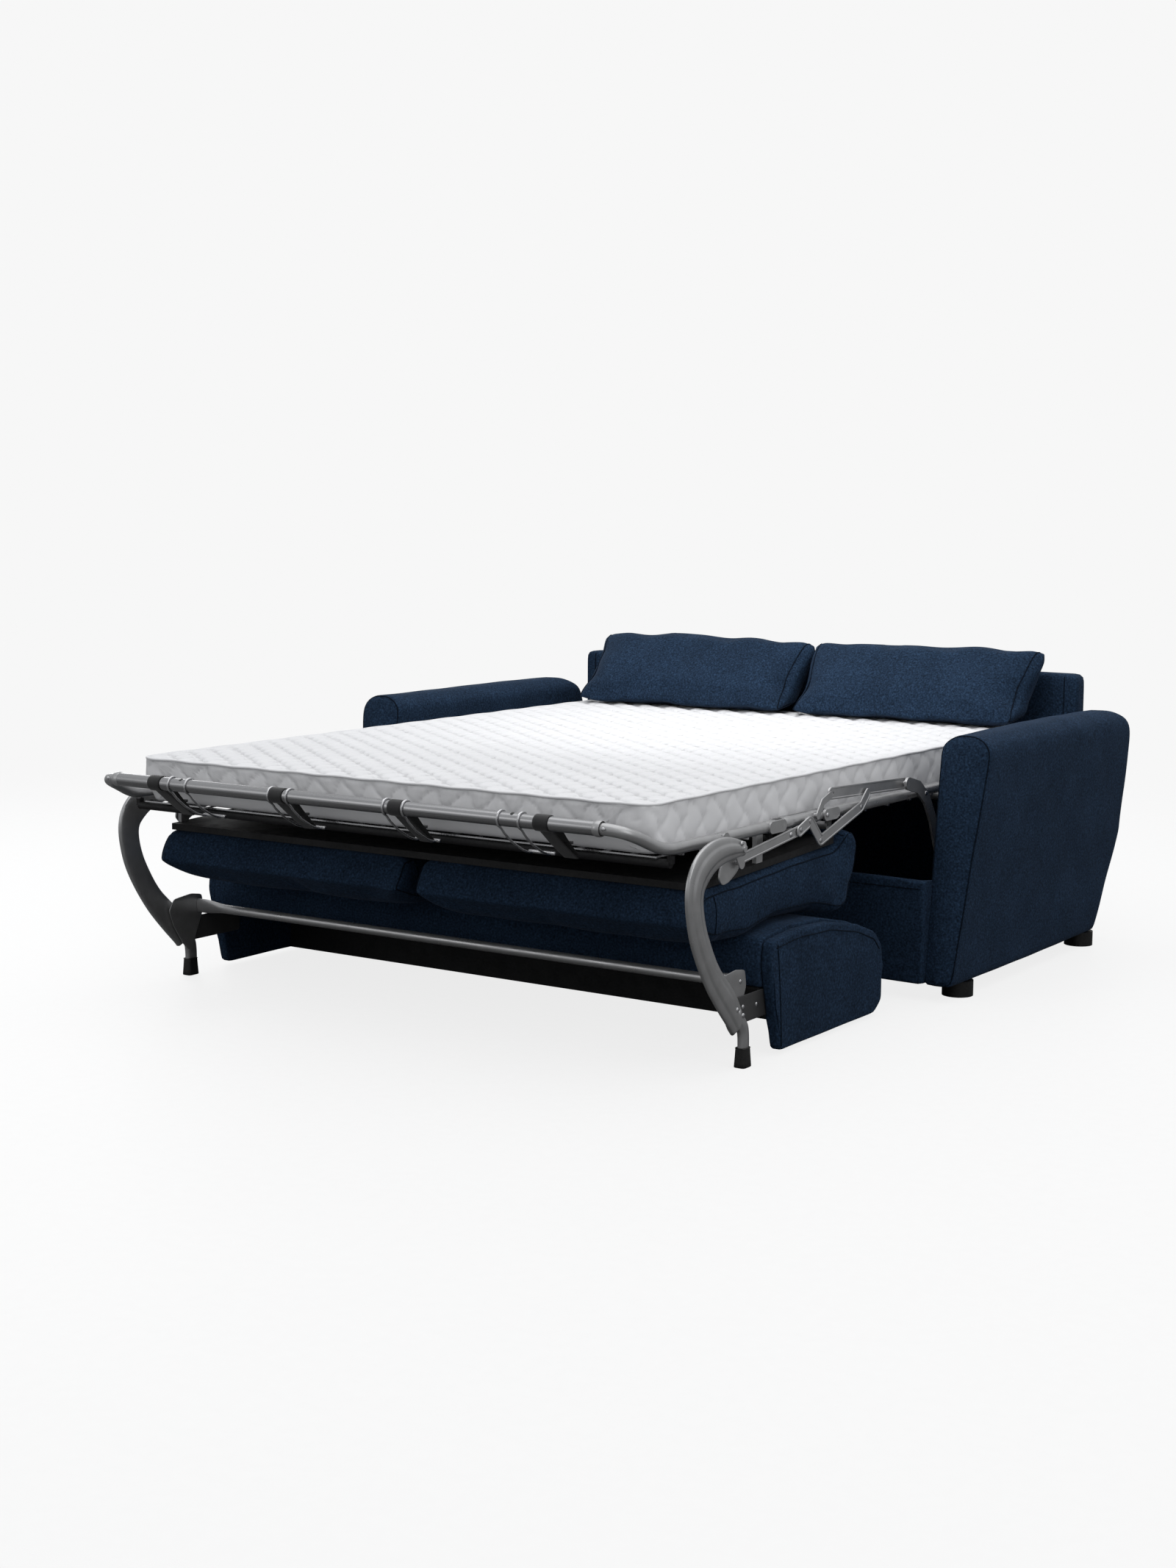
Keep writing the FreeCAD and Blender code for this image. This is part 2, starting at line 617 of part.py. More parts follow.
# ---------------------------------------------------------------- loose cushions
def build_back_cushions():
    seat = rail_z + mattress_high + gap
    outline = [(1478.0, seat), (1622.0, seat), (1690.0, 656.0), (1711.0, 742.0), (1690.0, 786.0),
               (1600.0, 780.0), (1545.0, 735.0), (1500.0, 655.0)]
    left = back_cushion_left_x
    right = left + back_cushion_width + back_cushion_gap
    write("back_cushion_left", [rounded(outline, left, left + back_cushion_width, 12.0)])
    write("back_cushion_right", [rounded(outline, right, right + back_cushion_width - 10, 12.0)])


os.makedirs("parts", exist_ok=True)
build_base()
build_carrier()
build_middle()
build_link()
build_foot()
build_legs()
build_backrest()
build_head()
build_link_bars()
build_back_cushions()
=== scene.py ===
"""Folding sofa bed, opened as a bed: upholstery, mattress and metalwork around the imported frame."""

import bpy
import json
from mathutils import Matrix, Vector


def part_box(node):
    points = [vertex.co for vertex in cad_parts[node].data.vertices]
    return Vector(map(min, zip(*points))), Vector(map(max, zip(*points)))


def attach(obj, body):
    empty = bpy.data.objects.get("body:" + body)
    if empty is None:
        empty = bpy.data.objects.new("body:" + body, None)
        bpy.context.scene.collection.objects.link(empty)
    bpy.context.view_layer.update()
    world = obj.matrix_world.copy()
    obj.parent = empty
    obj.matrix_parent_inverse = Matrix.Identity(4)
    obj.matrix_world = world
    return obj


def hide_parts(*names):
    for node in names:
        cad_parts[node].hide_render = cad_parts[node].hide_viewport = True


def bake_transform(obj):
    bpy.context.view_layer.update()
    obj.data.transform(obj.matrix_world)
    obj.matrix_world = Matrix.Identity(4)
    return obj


bl_info = {
    "name": "Folding Sofa Bed",
    "version": (1, 0, 0),
    "blender": (4, 5, 0),
    "location": "View3D > Sidebar > Sofa Bed",
    "description": "Builds the covers, mattress and metalwork of a folding sofa bed around its frame",
    "category": "Add Mesh",
}

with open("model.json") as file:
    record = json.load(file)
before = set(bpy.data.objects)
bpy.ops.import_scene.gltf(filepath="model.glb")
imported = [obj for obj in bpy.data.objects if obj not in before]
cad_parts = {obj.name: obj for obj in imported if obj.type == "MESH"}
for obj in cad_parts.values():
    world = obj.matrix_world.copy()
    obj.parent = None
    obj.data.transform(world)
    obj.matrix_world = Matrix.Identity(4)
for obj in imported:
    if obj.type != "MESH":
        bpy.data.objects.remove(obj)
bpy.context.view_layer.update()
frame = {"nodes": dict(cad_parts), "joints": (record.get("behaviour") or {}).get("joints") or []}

import json
import math
import bmesh
import bpy
import numpy as np
from bpy.props import FloatProperty, FloatVectorProperty, IntProperty, PointerProperty
from mathutils import Matrix, Vector
from mathutils.bvhtree import BVHTree

# ---------------------------------------------------------------- places, in millimetres
# y runs back from the front leg tips and z up from the floor, as in the drawings of the frame.
HINGE_Y = {"fold": 205.0, "link_fold": 400.0, "head_fold": 1080.0}
MIDDLE_Y = HINGE_Y["fold"] - 1000.0 * next(
    j for j in frame["joints"] if j["name"] == "fold")["pos_m"][1]
RAIL_X, RAIL_Z, RAIL_R = 733.0, 475.0, 12.5           # side rails: their axis and radius
BOW_Y, BOW_Z, BOW_R, BOW_HALF = -360.0, 527.0, 15.0, 655.0    # front tube: axis, radius, half length
STRAPS = (-533.0, -170.0, 156.0, 525.0)               # x of each strap's middle
STRAP_HALF, STRAP_THIN = 17.8, 1.0                    # half a strap's width and half its thickness
HOOKS = (-461.0, -165.0, 152.0, 447.0)                # x of each pair of hooks
HOOK_Y, HOOK_Z = -256.0, 448.0                        # their clamp on the mat's front wire
WIRE_R, WIRE_GAP = 2.5, 26.0                          # a hook's wire, and its place beside the middle
MATTRESS = (700.0, -258.0, 1640.0, 460.0, 572.0)      # half width, front, back, low, high
PIPING_R = 2.9
# Outlines are (y, z) points of a side view.
LEG_OUTER = [(-22, 470), (-70, 487), (-125, 491), (-180, 480), (-214, 458), (-231, 421),
             (-230, 372), (-221, 322), (-195, 263), (-157, 201), (-97, 134), (-50, 84), (-28, 22)]
LEG_INNER = [(-22, 444), (-60, 440), (-104, 437), (-150, 420), (-182, 387), (-186, 357), (-180, 327),
             (-159, 279), (-110, 215), (-60, 160), (-22, 112), (-2, 60), (4, 22)]
SEAT_OUTLINE = [(-168, 300), (-74, 268), (70, 262), (197, 278), (355, 273), (471, 254), (508, 268),
                (544, 346), (552, 412), (520, 446), (486, 436), (466, 402), (-128, 374)]
BOARD_LINE = ((-118.0, 376.0), (462.0, 403.0))        # underside of the seat board
BACKREST_TOP = [(69, 200), (76, 250), (184, 259), (331, 253), (460, 228), (545, 198), (582, 160)]
BACK_CUSHION = [(1476, 574), (1499, 618), (1556, 688), (1618, 750), (1664, 784), (1698, 778), (1713, 738),
                (1692, 656), (1624, 574)]
ARM_FRONT, ARM_LEAN, ARM_ROUND = 762.0, 78.0, 95.0    # front foot, its lean over the height, rear corner
HEEL_TOP, HEEL_HIGH, HEEL_DEEP = 297.0, 260.0, 100.0  # the arm's rear edge slopes forward below this height
SEAM_DEPTH = 17.0                                     # from a box side's edge to its seam
SIDE_PANEL = (774.0, 800.0)                           # inner and outer face of a box side
MATTRESS_SPLITS = (302.5, 750.0)                      # between its three folding lengths
FOLD_ZONE = 95.0                                      # how far the mattress would bend before and after a hinge; nothing here bends it
CORNER = 42.0                                         # plan corners of the mattress
LEG_X, LEG_THICK, LEG_STEPS = 782.5, 7.0, 80          # a leg's plane, half thickness and curved steps
SHANK_HALF, SHANK_THICK = 16.5, 8.0                   # half sizes of its straight lower end
SIDES = (1.0, -1.0)
UPWARD = (0.0, 0.0, 1.0)
DARK_PIECES = ("foot_cross_tubes", "side_plates", "back_brackets")
FRAME_SLOTS = ("fabric_navy", "mattress_white", "frame_paint", "link_steel", "bow_steel", "wire_steel",
               "board_black", "rubber_black", "webbing_black", "foot_black")


def place(x, y, z):
    """Drawing millimetres to model metres: y is measured from the middle of the whole object."""
    x, y, z = np.broadcast_arrays(np.asarray(x, float), y, z)
    return np.stack([x, y - MIDDLE_Y, z], -1) * 0.001


def drawn_box(name):
    """Low and high corner of a frame node's box, in drawing millimetres."""
    low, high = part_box(name)
    shift = np.array([0.0, MIDDLE_Y, 0.0])
    return np.array(low) * 1000 + shift, np.array(high) * 1000 + shift


def smooth(t):
    """0 below 0, 1 above 1, and 3t^2 - 2t^3 between."""
    t = np.clip(t, 0.0, 1.0)
    return t * t * (3.0 - 2.0 * t)


# ---------------------------------------------------------------- settings
class StageSettings(bpy.types.PropertyGroup):
    """Camera, floor and light."""
    lens: FloatProperty(name="Lens", description="Focal length of the camera", default=51.22, unit="CAMERA")
    eye: FloatVectorProperty(name="Eye", description="Where the camera stands", size=3,
                             default=(3.043, -4.6085, 1.156), unit="LENGTH")
    yaw: FloatProperty(name="Yaw", description="Turn to the left", default=math.radians(34.21),
                       unit="ROTATION")
    pitch: FloatProperty(name="Pitch", description="Tilt down", default=math.radians(7.22), unit="ROTATION")
    roll: FloatProperty(name="Roll", description="Lean", default=math.radians(0.28), unit="ROTATION")
    backdrop: FloatProperty(name="Backdrop", description="Brightness of the pale background", default=0.93)
    fill: FloatProperty(name="Fill", description="Strength of the light from all round", default=0.36)
    glow: FloatProperty(name="Floor glow", description="Light of the floor itself, which softens shadows",
                        default=0.815)
    overhead: FloatProperty(name="Overhead", description="Power of the softbox above", default=52.0)
    key: FloatProperty(name="Key", description="Power of the side softbox", default=22.0)


class CoverSettings(bpy.types.PropertyGroup):
    """Navy upholstery."""
    colour: FloatVectorProperty(name="Cloth", description="Colour of the cloth", subtype="COLOR", size=3,
                                default=(0.0150, 0.0305, 0.0590))
    fleck: FloatProperty(name="Fleck", description="Size of the lighter and darker flecks", default=0.0026,
                         unit="LENGTH")
    welt: FloatProperty(name="Welt", description="Radius of the sewn edge", default=0.0017, unit="LENGTH")
    swell: FloatProperty(name="Swell", description="How far the stuffing may push the cloth", default=0.022,
                         unit="LENGTH")
    frames: IntProperty(name="Frames", description="Steps of the stuffing simulation", default=20)


class MattressSettings(bpy.types.PropertyGroup):
    """White quilted mattress."""
    colour: FloatVectorProperty(name="Ticking", description="Colour of the ticking", subtype="COLOR", size=3,
                                default=(0.84, 0.84, 0.855))
    cell_width: FloatProperty(name="Cell width", description="Width of a quilted cell", default=0.088,
                              unit="LENGTH")
    cell_length: FloatProperty(name="Cell length", description="Length of a quilted cell", default=0.068,
                               unit="LENGTH")
    puff: FloatProperty(name="Puff", description="Height of a quilted cell", default=0.0115, unit="LENGTH")
    border_cell: FloatProperty(name="Border cell", description="Width of a diamond on the border",
                               default=0.041, unit="LENGTH")
    border_puff: FloatProperty(name="Border puff", description="Height of the border's quilting",
                               default=0.0036, unit="LENGTH")
    grain: FloatProperty(name="Grid", description="Spacing of the mattress's mesh", default=0.007,
                         unit="LENGTH")


class MetalSettings(bpy.types.PropertyGroup):
    """Steelwork."""
    paint: FloatVectorProperty(name="Paint", description="Colour of the painted steel", subtype="COLOR",
                               size=3, default=(0.45, 0.45, 0.455))
    steel: FloatVectorProperty(name="Steel", description="Colour of the bare tube", subtype="COLOR", size=3,
                               default=(0.36, 0.36, 0.368))
    rivet: FloatProperty(name="Rivet", description="Radius of a rivet's head", default=0.0058, unit="LENGTH")


# ---------------------------------------------------------------- meshes
def quads(rows, columns):
    """Corner numbers of every quad of a grid whose columns run round to the first again."""
    i = np.arange(rows - 1)[:, None]
    j = np.arange(columns)[None]
    k = (j + 1) % columns
    return np.stack([i * columns + j, i * columns + k, (i + 1) * columns + k, (i + 1) * columns + j],
                    -1).reshape(-1, 4)


def shade_smooth(mesh):
    """Smooth shading on every face."""
    mesh.polygons.foreach_set("use_smooth", np.ones(len(mesh.polygons), dtype=bool))


def piece(name, grids, finish, crease=42.0, weld=1e-5, marks=None):
    """One object from grids of points (rows, columns, 3) whose rows are rings: doubles merged, normals
    outward. Marks is a number for each point, kept as a point attribute; the mattress uses it for painted
    shade along its quilting's stitch lines."""
    corners, points, base = [], [], 0
    for grid in grids:
        rows, columns = grid.shape[:2]
        corners.append(quads(rows, columns) + base)
        points.append(grid.reshape(-1, 3))
        base += rows * columns
    corners, points = np.concatenate(corners), np.concatenate(points)
    mesh = bpy.data.meshes.new(name)
    mesh.vertices.add(len(points))
    mesh.vertices.foreach_set("co", points.astype(np.float32).ravel())
    mesh.loops.add(corners.size)
    mesh.loops.foreach_set("vertex_index", corners.astype(np.int32).ravel())
    mesh.polygons.add(len(corners))
    mesh.polygons.foreach_set("loop_start", np.arange(0, corners.size, 4, dtype=np.int32))
    mesh.update(calc_edges=True)
    if marks is not None:
        # painted shade: how much the quilting's grooves darken the ticking at each point
        stitch_shade = mesh.attributes.new("stitch_shade", "FLOAT", "POINT")
        stitch_shade.data.foreach_set("value", marks.astype(np.float32).ravel())
    made = bmesh.new()
    made.from_mesh(mesh)
    bmesh.ops.remove_doubles(made, verts=made.verts, dist=weld)
    bmesh.ops.recalc_face_normals(made, faces=made.faces)
    made.to_mesh(mesh)
    made.free()
    shade_smooth(mesh)
    mesh.set_sharp_from_angle(angle=math.radians(crease))
    mesh.materials.append(finish)
    thing = bpy.data.objects.new(name, mesh)
    bpy.context.scene.collection.objects.link(thing)
    return thing


def even(points, spacing):
    """A path's points set out again at even steps; works for 2 or 3 coordinates."""
    p = np.asarray(points, float)
    run = np.r_[0.0, np.cumsum(np.linalg.norm(np.diff(p, axis=0), axis=1))]
    t = np.linspace(0.0, run[-1], max(3, int(run[-1] / spacing) + 1))
    return np.stack([np.interp(t, run, p[:, k]) for k in range(p.shape[1])], -1)


def eased(points, spacing, width):
    """An open path set out evenly, its corners eased by a bell-shaped average; its ends stay put."""
    p = even(points, spacing)
    reach = max(1, int(2.5 * width / spacing))
    bell = np.exp(-0.5 * (np.arange(-reach, reach + 1) * spacing / width) ** 2)
    bell /= bell.sum()
    if len(p) <= reach + 1:
        return p
    long = np.concatenate([2 * p[0] - p[reach:0:-1], p, 2 * p[-1] - p[-2:-reach - 2:-1]])
    return np.stack([np.convolve(long[:, k], bell, mode="valid") for k in range(p.shape[1])], -1)


def between(t, places, values):
    """Complex values at places, read off at t along straight lines."""
    return np.interp(t, places, values.real) + 1j * np.interp(t, places, values.imag)


def outward(section):
    """Unit direction out of a closed outline at each of its points: its tangent turned a quarter."""
    tangent = np.roll(section, -1) - np.roll(section, 1)
    return -1j * tangent / np.abs(tangent)


def whole_turn(count):
    """Angles of a whole turn in even steps."""
    return np.arange(count) * 2.0 * np.pi / count


def ring(outline, spacing, softness, tips):
    """A closed outline as complex numbers, evenly spaced, corners eased by a bell-shaped average of
    that width, starting at one tip and with as many points on each side between the two tips."""
    p = np.asarray(outline, float)
    loop = np.vstack([p, p[:1]])
    run = np.r_[0.0, np.cumsum(np.hypot(*np.diff(loop, axis=0).T))]
    count = int(run[-1] / (0.5 * spacing))
    t = np.arange(count) * run[-1] / count
    c = between(t, run, loop[:, 0] + 1j * loop[:, 1])
    waves = np.fft.fftfreq(count, run[-1] / count)
    c = np.fft.ifft(np.fft.fft(c) * np.exp(-2.0 * (np.pi * waves * softness) ** 2))
    if np.sum(c.real * np.roll(c.imag, -1) - np.roll(c.real, -1) * c.imag) < 0:
        c = c[::-1]
    c = np.roll(c, -int(np.argmin(np.abs(c - complex(*tips[0])))))
    second = int(np.argmin(np.abs(c - complex(*tips[1]))))
    half = max(8, int(run[-1] / spacing / 2))
    parts = []
    for part in (c[:second + 1], np.r_[c[second:], c[:1]]):
        length = np.r_[0.0, np.cumsum(np.abs(np.diff(part)))]
        parts.append(between(np.linspace(0.0, length[-1], half + 1)[:-1], length, part))
    return np.concatenate(parts)


def padded_form(section, low, high, spacing, edge=(10.0, 10.0), crown=(6.0, 6.0), belly=0.0, cap=9,
                pinch=0.0):
    """Rings of a padded form. The section runs from low to high. At each end, with t up to a quarter
    turn, it draws in by edge (1 - sin t) and stands back by edge (1 - cos t), a quarter round, and
    then closes on the line half-way between its two sides, bulging by crown. In between it swells by
    belly (1 - |2s - 1|^3), and towards both ends it thins by pinch |2s - 1|^6, with s from 0 to 1.
    Gives the rings as complex numbers and their places along the axis."""
    out = outward(section)
    count = len(section)
    partner = (-np.arange(count)) % count
    middle = 0.5 * (section + section[partner])
    along = np.minimum(np.arange(count), partner) / (count / 2)
    half = count // 2
    middle = between(0.05 + 0.9 * along, np.linspace(0, 1, half + 1), middle[:half + 1])
    rings, places = [], []

    def end(radius, bulge, face, outside):
        shell, where = [], []
        drawn = section - radius * out
        for t in np.linspace(1.0, 0.0, cap + 1)[:-1]:
            shell.append(drawn + t * (middle - drawn))
            where.append(np.full(count, face + outside * bulge * (1.0 - (1.0 - t) ** 2)))
        for turn in np.linspace(0.0, 0.5 * np.pi, 5 if radius > 0 else 1):
            shell.append(section - radius * (1.0 - math.sin(turn)) * out)
            where.append(np.full(count, face - outside * radius * (1.0 - math.cos(turn))))
        return shell, where

    shell, where = end(edge[0], crown[0], low, -1.0)
    rings += shell
    places += where
    run = np.linspace(low + edge[0], high - edge[1], max(2, int((high - low) / spacing)))
    for w in run[1:-1]:
        rings.append(section.copy())
        places.append(np.full(count, w))
    shell, where = end(edge[1], crown[1], high, 1.0)
    rings += shell[::-1]
    places += where[::-1]
    rings, places = np.array(rings), np.array(places)
    s = np.clip((places - low) / (high - low), 0.0, 1.0)
    rings = rings + belly * (1.0 - np.abs(2.0 * s - 1.0) ** 3) * out
    rings = rings + pinch * np.abs(2.0 * s - 1.0) ** 6 * (middle - rings)
    return rings, places


def ripple(points, seed, size, height):
    """Slow unevenness: each point moves by a sum of six sine waves of about the given length, each in
    a direction of its own, scaled to about the given height."""
    rng = np.random.default_rng(seed)
    move = np.zeros_like(points)
    for _ in range(6):
        way = rng.normal(size=3)
        way /= np.linalg.norm(way)
        pull = rng.normal(size=3)
        pull /= np.linalg.norm(pull)
        phase = 2.0 * np.pi * (points @ way / (size * rng.uniform(0.6, 1.6)) + rng.uniform())
        move += np.sin(phase)[..., None] * pull
    return points + move * height / 2.4


def swept(path, side, width, thick, sides=14, power=2.0, rib=0.0, ends=True):
    """A bar or tube along a path. Its section is the curve |a/width|^p + |b/thick|^p = 1, a measured
    across the path and b along the side direction, with a raised rib of that share down its outer face.
    Both ends close with a rounded nose."""
    p = np.asarray(path, float)
    count = len(p)
    width, thick = np.broadcast_to(width, count).astype(float), np.broadcast_to(thick, count).astype(float)
    tangent = np.gradient(p, axis=0)
    tangent /= np.linalg.norm(tangent, axis=1)[:, None]
    side = np.broadcast_to(np.asarray(side, float), p.shape)
    across = np.cross(tangent, side)
    across /= np.linalg.norm(across, axis=1)[:, None]
    side = np.cross(across, tangent)
    if ends:
        nose = np.array([0.0, 0.45, 0.75, 0.93])
        reach = np.minimum(width, thick)[[0, -1]] * 0.6
        out = np.sqrt(1.0 - nose ** 2)[:, None]
        p = np.concatenate([p[:1] - out * reach[0] * tangent[:1], p,
                            p[-1:] + out[::-1] * reach[1] * tangent[-1:]])
        grow = np.concatenate([nose, np.ones(count), nose[::-1]])
        pick = np.concatenate([np.zeros(4, int), np.arange(count), np.full(4, count - 1)])
        width, thick, across, side = width[pick] * grow, thick[pick] * grow, across[pick], side[pick]
    angle = whole_turn(sides)
    ca, sa = np.cos(angle), np.sin(angle)
    a = np.sign(ca) * np.abs(ca) ** (2.0 / power)
    b = np.sign(sa) * np.abs(sa) ** (2.0 / power)
    b = b + rib * np.exp(-(a / 0.42) ** 8) * (sa > 0.0)
    return (p[:, None] + (a[None] * width[:, None])[..., None] * across[:, None]
            + (b[None] * thick[:, None])[..., None] * side[:, None])


def capped(grid):
    """A tube's rings with a pole added at the middle of its first and last ring."""
    ends = [np.repeat(grid[k].mean(axis=0)[None, None], grid.shape[1], 1) for k in (0, -1)]
    return np.concatenate([ends[0], grid, ends[1]])


def domes(centres, radius, height, facing):
    """Round rivet heads: a flattened half ball at each centre, bulging the way it faces."""
    rise = np.linspace(0.0, 0.5 * np.pi, 5)
    turn = whole_turn(12)
    facing = np.asarray(facing, float)
    one = np.cross(facing, (0.0, 0.6, 0.8))
    one /= np.linalg.norm(one)
    two = np.cross(facing, one)
    circle = np.cos(turn)[:, None] * one + np.sin(turn)[:, None] * two
    shell = (radius * np.cos(rise)[:, None, None] * circle[None]
             + height * np.sin(rise)[:, None, None] * facing)
    base = np.repeat(shell[:1].mean(axis=1, keepdims=True), len(turn), 1)
    shell = np.concatenate([base, shell])
    return [shell + np.asarray(c, float) for c in centres]


def surface(thing):
    """Search tree of an object's own mesh."""
    mesh = thing.data
    return BVHTree.FromPolygons([v.co[:] for v in mesh.vertices], [p.vertices[:] for p in mesh.polygons])


def laid_on(tree, path, lift):
    """A path moved to the nearest places of a surface, and raised by lift."""
    out = []
    for point in path:
        spot, normal, _, _ = tree.find_nearest(Vector(point))
        out.append(spot + normal * lift)
    return np.array([v[:] for v in out])


def average(path, times):
    """A closed path eased by averaging each point with its two neighbours."""
    for _ in range(times):
        path = 0.25 * np.roll(path, 1, 0) + 0.5 * path + 0.25 * np.roll(path, -1, 0)
    return path


def welt(name, host, paths, share, body, closed=True):
    """A sewn edge: a thin round cord along each path, its middle 0.4 mm clear of its host's surface; share is
    its radius as a part of the welt setting. Its cloth is the same navy darkened to three tenths, as painted
    shade along the seam."""
    tree = surface(host)
    radius = bpy.context.scene.sofabed_cover.welt * share
    grids = []
    for path in paths:
        line = laid_on(tree, path, 0.0004)
        if closed:
            line = average(line, 3)
            line = np.concatenate([line, line[:1]])
        centre = line.mean(axis=0)
        side = line - centre
        side /= np.maximum(np.linalg.norm(side, axis=1), 1e-6)[:, None]
        grids.append(swept(line, side, radius, radius, sides=8, ends=not closed))
    thing = settle(piece(name, grids, finish_for("seam")), body, "fabric_navy")


def points_of(thing):
    """All of a mesh's points as one array."""
    flat = np.empty(len(thing.data.vertices) * 3, np.float32)
    thing.data.vertices.foreach_get("co", flat)
    return flat.reshape(-1, 3).astype(float)


def put_points(thing, points):
    """Puts an array of points back into a mesh."""
    thing.data.vertices.foreach_set("co", points.astype(np.float32).ravel())
    thing.data.update()


def evaluated(thing):
    """The object as its modifiers make it."""
    return thing.evaluated_get(bpy.context.evaluated_depsgraph_get())


def apply_modifiers(thing):
    """Puts the modifiers' result into the object's mesh, with the same finish."""
    finish = thing.data.materials[0]
    shape = bpy.data.meshes.new_from_object(evaluated(thing))
    thing.modifiers.clear()
    shape.materials.clear()
    shape.materials.append(finish)
    thing.data = shape


def stuffed(thing, swell, frames):
    """Stuffing: the cover is remeshed, blown up as cloth for some frames, held within swell of its
    start by swell * tanh(move / swell), smoothed three times and given one subdivision."""
    scene = bpy.context.scene
    remesh = thing.modifiers.new("remesh", "REMESH")
    remesh.mode, remesh.voxel_size = "VOXEL", 0.008
    apply_modifiers(thing)
    start = points_of(thing)
    cloth = thing.modifiers.new("stuffing", "CLOTH")
    cloth.settings.quality = 4
    cloth.settings.use_pressure = True
    cloth.settings.uniform_pressure_force = 4.0
    cloth.settings.effector_weights.gravity = 0.0
    cloth.point_cache.frame_start, cloth.point_cache.frame_end = 1, frames
    for step in range(1, frames + 1):
        scene.frame_set(step)
    move = np.nan_to_num(points_of(evaluated(thing)) - start)
    thing.modifiers.clear()
    scene.frame_set(1)
    far = np.linalg.norm(move, axis=1)[:, None]
    put_points(thing, start + move * np.tanh(far / swell) * swell / np.maximum(far, 1e-9))
    made = bmesh.new()
    made.from_mesh(thing.data)
    for _ in range(3):
        bmesh.ops.smooth_vert(made, verts=made.verts, factor=0.5, use_axis_x=True, use_axis_y=True,
                              use_axis_z=True)
    made.to_mesh(thing.data)
    made.free()
    finer = thing.modifiers.new("finer", "SUBSURF")
    finer.levels = finer.render_levels = 1
    apply_modifiers(thing)
    shade_smooth(thing.data)


# ---------------------------------------------------------------- finishes
def node(tree, kind, values=None, links=None, **settings):
    """A shader node with its settings, socket values and incoming links."""
    made = tree.nodes.new("ShaderNode" + kind)
    for key, value in settings.items():
        setattr(made, key, value)
    for key, value in (values or {}).items():
        made.inputs[key].default_value = value
    for key, source in (links or {}).items():
        tree.links.new(source, made.inputs[key])
    return made


def blank(name, values):
    """A new material, its tree, its shader with constant values, and its object coordinates."""
    material = bpy.data.materials.new(name)
    material.use_nodes = True
    tree = material.node_tree
    shader = tree.nodes["Principled BSDF"]
    for key, value in values.items():
        shader.inputs[key].default_value = value
    spots = node(tree, "TexCoord").outputs["Object"]
    return material, tree, shader, spots


def tones(tree, factor, stops):
    """A colour ramp from (place, colour) stops."""
    ramp = node(tree, "ValToRGB", links={"Fac": factor})
    while len(ramp.color_ramp.elements) < len(stops):
        ramp.color_ramp.elements.new(0.5)
    for element, (place_at, colour) in zip(ramp.color_ramp.elements, stops):
        element.position = place_at
        element.color = (*colour, 1.0)
    return ramp.outputs["Color"]


def span(tree, source, low, high, start=0.3, stop=0.7):
    """A noise value spread between two numbers."""
    return node(tree, "MapRange", {"From Min": start, "From Max": stop, "To Min": low, "To Max": high},
                {"Value": source}).outputs["Result"]


def noise(tree, spots, scale, detail=2.0, stretch=None):
    """Noise of a scale in features per metre, optionally stretched along an axis."""
    if stretch:
        spots = node(tree, "Mapping", {"Scale": stretch}, {"Vector": spots}).outputs["Vector"]
    return node(tree, "TexNoise", {"Scale": scale, "Detail": detail}, {"Vector": spots}).outputs["Fac"]


def raised(tree, shader, height, strength, distance, under=None):
    """A bump from a height, on top of another bump."""
    links = {"Height": height}
    if under:
        links["Normal"] = under
    made = node(tree, "Bump", {"Strength": strength, "Distance": distance}, links).outputs["Normal"]
    tree.links.new(made, shader.inputs["Normal"])
    return made


def woven_cloth(name, colour, fleck, spread=0.55):
    """Heathered plain weave: flecks of lighter and darker yarn, slow shade changes, a fine weave and nap."""
    material, tree, shader, spots = blank(name, {
        "Roughness": 0.92, "Specular IOR Level": 0.08, "Sheen Weight": 0.06, "Sheen Roughness": 0.35,
        "Sheen Tint": (0.45, 0.58, 0.85, 1.0)})
    yarn = noise(tree, spots, 0.55 / fleck, 3.0)
    base = np.array(colour)
    cloth = tones(tree, yarn, [(0.30, base * (1.0 - spread)), (0.47, base * 0.9), (0.56, base * 1.12),
                               (0.72, base * (1.0 + 1.5 * spread))])
    slow = span(tree, noise(tree, spots, 9.0), 0.86, 1.12)
    grey = node(tree, "CombineColor", links={"Red": slow, "Green": slow, "Blue": slow}).outputs["Color"]
    shade = node(tree, "MixRGB", {"Fac": 1.0}, {"Color1": cloth, "Color2": grey}, blend_type="MULTIPLY")
    tree.links.new(shade.outputs["Color"], shader.inputs["Base Color"])
    slub = raised(tree, shader, noise(tree, spots, 0.3 / fleck, 2.0), 0.35, 0.0012)
    raised(tree, shader, noise(tree, spots, 1.5 / fleck, 1.0), 0.5, 0.0005, slub)
    return material


def ticking(name, colour):
    """White knitted ticking with a soft nap and faint creases; its colour is darkened by painted shade along
    the quilting's stitch lines.
    """
    material, tree, shader, spots = blank(name, {
        "Roughness": 0.82, "Specular IOR Level": 0.3, "Sheen Weight": 0.12, "Sheen Roughness": 0.5})
    base = np.array(colour)
    cloth = tones(tree, noise(tree, spots, 6.0, 3.0), [(0.3, base * 0.965), (0.7, base)])
    # painted shade: the ticking is darkened to two thirds along the quilting's stitch lines, standing in for
    # the shade in their grooves
    stitch_shade = node(tree, "Attribute", attribute_name="stitch_shade").outputs["Fac"]
    shade = node(tree, "MixRGB", {"Color2": (*(base * 0.66), 1.0)}, {"Fac": stitch_shade, "Color1": cloth})
    tree.links.new(shade.outputs["Color"], shader.inputs["Base Color"])
    crease = raised(tree, shader, noise(tree, spots, 28.0, 3.0), 0.22, 0.004)
    raised(tree, shader, noise(tree, spots, 750.0, 1.0), 0.16, 0.0006, crease)
    return material


